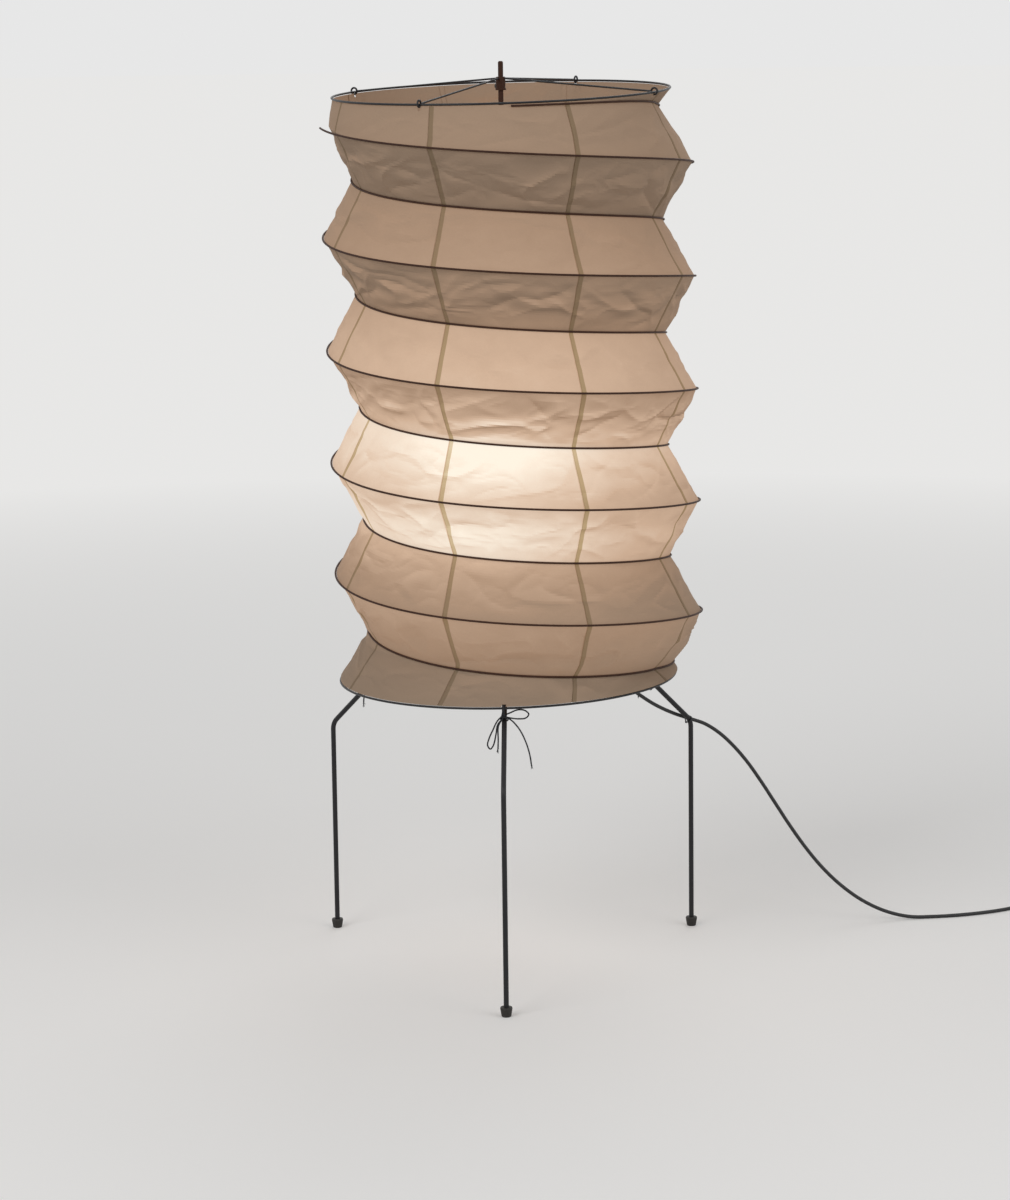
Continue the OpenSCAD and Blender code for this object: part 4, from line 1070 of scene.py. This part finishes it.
class LAMP_OT_ties(PieceOperator):
    """Strings that tie the lower ring to the arms and the cord to the right leg"""
    bl_idname = "paper_lamp.ties"
    bl_label = "Tie strings"

    KNOT_R, KNOT_TURNS, FRONT_BOW, REAR_BOW = 0.0044, 2.6, 1.18, 0.85
    FIBRES, FIBRE_D, FIBRE_REACH, FIBRE_CURL = 14, 0.0005, (0.004, 0.007), 0.003
    # The bow's loops and ends from the knot, in millimetres
    BOW_RIGHT = [(2, 0, 2), (8, -2, 5), (18, -3, 9), (27, -3, 8), (32, -3, 3), (28, -3, -2),
                 (18, -3, -3), (8, -2, -2), (2, 0, -1.5)]
    BOW_LEFT = [(-2, 0, 1), (-9, -2, -6), (-15, -3, -18), (-20, -3, -29), (-22, -3, -38),
                (-18.5, -3, -43), (-14.5, -3, -38), (-11, -2, -24), (-8.5, -1.5, -11),
                (-1.5, -0.5, -2.6)]
    END_RIGHT = [(1, 0, -1), (10, -5, -5), (20, -6, -17), (28, -6, -34), (33, -6, -52),
                 (35, -6, -68)]
    END_LEFT = [(-1, -1, -1), (-7.5, -6, -12), (-8, -7, -30), (-8.5, -7, -46)]

    def lashing(self, turn):
        """Knot point and the string over the lower ring and round the arm, in the tie's frame"""
        low_z = LOW_Z + LOW_DIP_LEFT * math.sin(math.radians(turn))
        arm_z = BOSS_Z - LOW_R * math.tan(ARM_SLOPE)
        drop = LOW_Z - arm_z
        ring = np.array([0, -LOW_R, low_z])
        arm = np.array([0, -(LOW_R - drop * math.sin(ARM_SLOPE) * math.cos(ARM_SLOPE)),
                        arm_z + drop * math.sin(ARM_SLOPE) ** 2])
        way = np.array([0, math.cos(ARM_SLOPE), math.sin(ARM_SLOPE)])
        away = unit(ring - arm)
        knot = arm + (LEG_D / 2 + SEAT + self.KNOT_R) * away
        ring_gap = RING_D / 2 + STRING_D / 2 + SEAT
        arm_gap = LEG_D / 2 + STRING_D / 2 + SEAT
        over = [ring + ring_gap * (math.sin(a) * away - math.cos(a) * way)
                for a in np.radians(np.arange(0, 181, 18))]
        round_arm = [arm + arm_gap * (-math.cos(b) * np.array([1, 0, 0]) - math.sin(b) * away)
                     for b in np.radians(np.arange(-30, 211, 20))]
        return knot, [knot, knot + 0.005 * away - 0.002 * way, *over], [over[-1], *round_arm, knot]

    def knot_turns(self, knot, size):
        """The turns of the knot itself"""
        a = np.linspace(0, self.KNOT_TURNS * math.tau, 40)
        wide, deep, tall, forward = size * 0.62, size * 0.55, 1.3, 0.0012
        return np.stack([knot[0] + wide * np.cos(a), knot[1] - forward + deep * np.sin(a),
                         knot[2] + size * (a / a[-1] - 0.5) * tall], axis=1)

    def frayed(self, tip, way, seed):
        """Loose fibres at the end of a string"""
        random = np.random.default_rng(seed)
        lines = []
        for _ in range(self.FIBRES):
            start = tip + random.normal(0, self.FIBRE_D, 3)
            side = random.normal(0, 0.5, 3)
            reach = random.uniform(*self.FIBRE_REACH)
            steps = np.linspace(-0.2, 1, 6)[:, None]
            lines.append(start + steps * reach * way + steps ** 2 * self.FIBRE_CURL * side)
        return lines

    def execute(self, context):
        for seed, (side, turn) in enumerate(LEG_TURNS.items()):
            size = self.FRONT_BOW if side == "front" else self.REAR_BOW
            knot, over, under = self.lashing(turn)
            lines = [smooth_line(over, STRING_STEP), smooth_line(under, STRING_STEP),
                     self.knot_turns(knot, self.KNOT_R)]
            tails = []
            for path in (self.BOW_RIGHT, self.BOW_LEFT, self.END_RIGHT, self.END_LEFT):
                offsets = np.array([(x * size, y - 1, z * size)
                                    if math.hypot(x, y, z) >= self.KNOT_R * 1000 else (x, y, z)
                                    for x, y, z in path]) / 1000
                tails.append(smooth_line(knot + offsets, STRING_STEP))
            tails[2], tails[3] = tails[2][:-3], tails[3][:-3]
            loose = []
            for tail, number in ((tails[2], 0), (tails[3], 5)):
                loose += self.frayed(tail[-1], unit(tail[-1] - tail[-3]), seed + number)
            ties = twisted_string(f"tie_string_{side}", [turned(p, turn) for p in lines + tails],
                                  STRING_D)
            ends = round_wire(f"tie_fray_{side}", [turned(p, turn) for p in loose],
                              self.FIBRE_D, "string", 4)
            for piece in (ties, ends):
                on_stand(piece)
            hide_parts(f"tie_{side}")
        self.cord_tie()
        return {"FINISHED"}

    @staticmethod
    def cord_tie():
        """String that holds the cord against the bend of the right leg"""
        turn = math.radians(LEG_TURNS["right"])
        out = np.array([math.sin(turn), -math.cos(turn), 0])
        bend_drop = BEND_R * math.tan((math.pi / 2 - ARM_SLOPE) / 2)
        a, string_r, knot_r = math.radians(30), 0.001, 0.0011
        gap = string_r + SEAT
        leg = (LEG_R - BEND_R * (1 - math.cos(a))) * out
        leg[2] = SHOULDER_Z - bend_drop + BEND_R * math.sin(a)
        leg_way = np.array([0, 0, math.cos(a)]) - math.sin(a) * out
        start, end = (np.array(point) / 1000 for point in
                      (LAMP_OT_mains_cord.INNER[-1], LAMP_OT_mains_cord.OUTER[0]))
        cord_way = unit(start - end)
        normal = unit(leg_way + cord_way)
        link = start - leg
        link = link - (link @ normal) / (cord_way @ normal) * cord_way
        apart = unit(link)
        across = np.cross(normal, apart)
        wide = 1 / (normal @ leg_way)

        def arc(middle, radius, first, last):
            return [middle + radius * wide * (math.cos(b) * apart + math.sin(b) * across)
                    for b in np.radians(np.arange(first, last + 1, 15))]

        leg_side = arc(leg, LEG_D / 2 + gap, 90, 270)
        cord_side = arc(leg + link, CORD_D / 2 + gap, -90, 90)
        knot = leg + ((LEG_D / 2 + gap) * wide + knot_r) * across + 0.002 * apart
        lines = [np.array([knot, *leg_side]), np.array([leg_side[-1], *cord_side, knot])]
        turns = np.linspace(0, 2 * math.tau, 24)
        lines.append(knot + knot_r * (np.outer(np.cos(turns), apart)
                                      + np.outer(np.sin(turns), across))
                     + np.outer(np.linspace(-0.0012, 0.0012, 24), normal))
        piece = twisted_string("cord_string", lines, 2 * string_r)
        on_stand(piece)
        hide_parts("cord_tie")


STEPS = (LAMP_OT_stage, LAMP_OT_mains_cord, LAMP_OT_stand, LAMP_OT_lamp, LAMP_OT_paper,
         LAMP_OT_ribs, LAMP_OT_ties)


class LAMP_PT_steps(bpy.types.Panel):
    """The lamp's steps and sizes"""
    bl_idname = "LAMP_PT_steps"
    bl_label = "Paper lamp"
    bl_space_type = "VIEW_3D"
    bl_region_type = "UI"
    bl_category = "Paper lamp"

    def draw(self, context):
        column = self.layout.column(align=True)
        for step in STEPS:
            column.operator(step.bl_idname)
        for group in (context.scene.lamp_shade, context.scene.lamp_glow,
                      context.scene.lamp_wires, context.scene.lamp_stage):
            box = self.layout.box()
            for name in group.bl_rna.properties.keys():
                if name not in {"rna_type", "name"}:
                    box.prop(group, name)


GROUPS = {"lamp_shade": ShadeSizes, "lamp_glow": GlowLook, "lamp_wires": WireColours,
          "lamp_stage": StageLook}


def register():
    for group in GROUPS.values():
        bpy.utils.register_class(group)
    for name, group in GROUPS.items():
        setattr(bpy.types.Scene, name, bpy.props.PointerProperty(type=group))
    for step in (*STEPS, LAMP_PT_steps):
        bpy.utils.register_class(step)


def unregister():
    for step in reversed((*STEPS, LAMP_PT_steps)):
        bpy.utils.unregister_class(step)
    for name in GROUPS:
        delattr(bpy.types.Scene, name)
    for group in reversed(list(GROUPS.values())):
        bpy.utils.unregister_class(group)


def main():
    register()
    for step in STEPS:
        group, name = step.bl_idname.split(".")
        getattr(getattr(bpy.ops, group), name)()


if __name__ == "__main__":
    main()
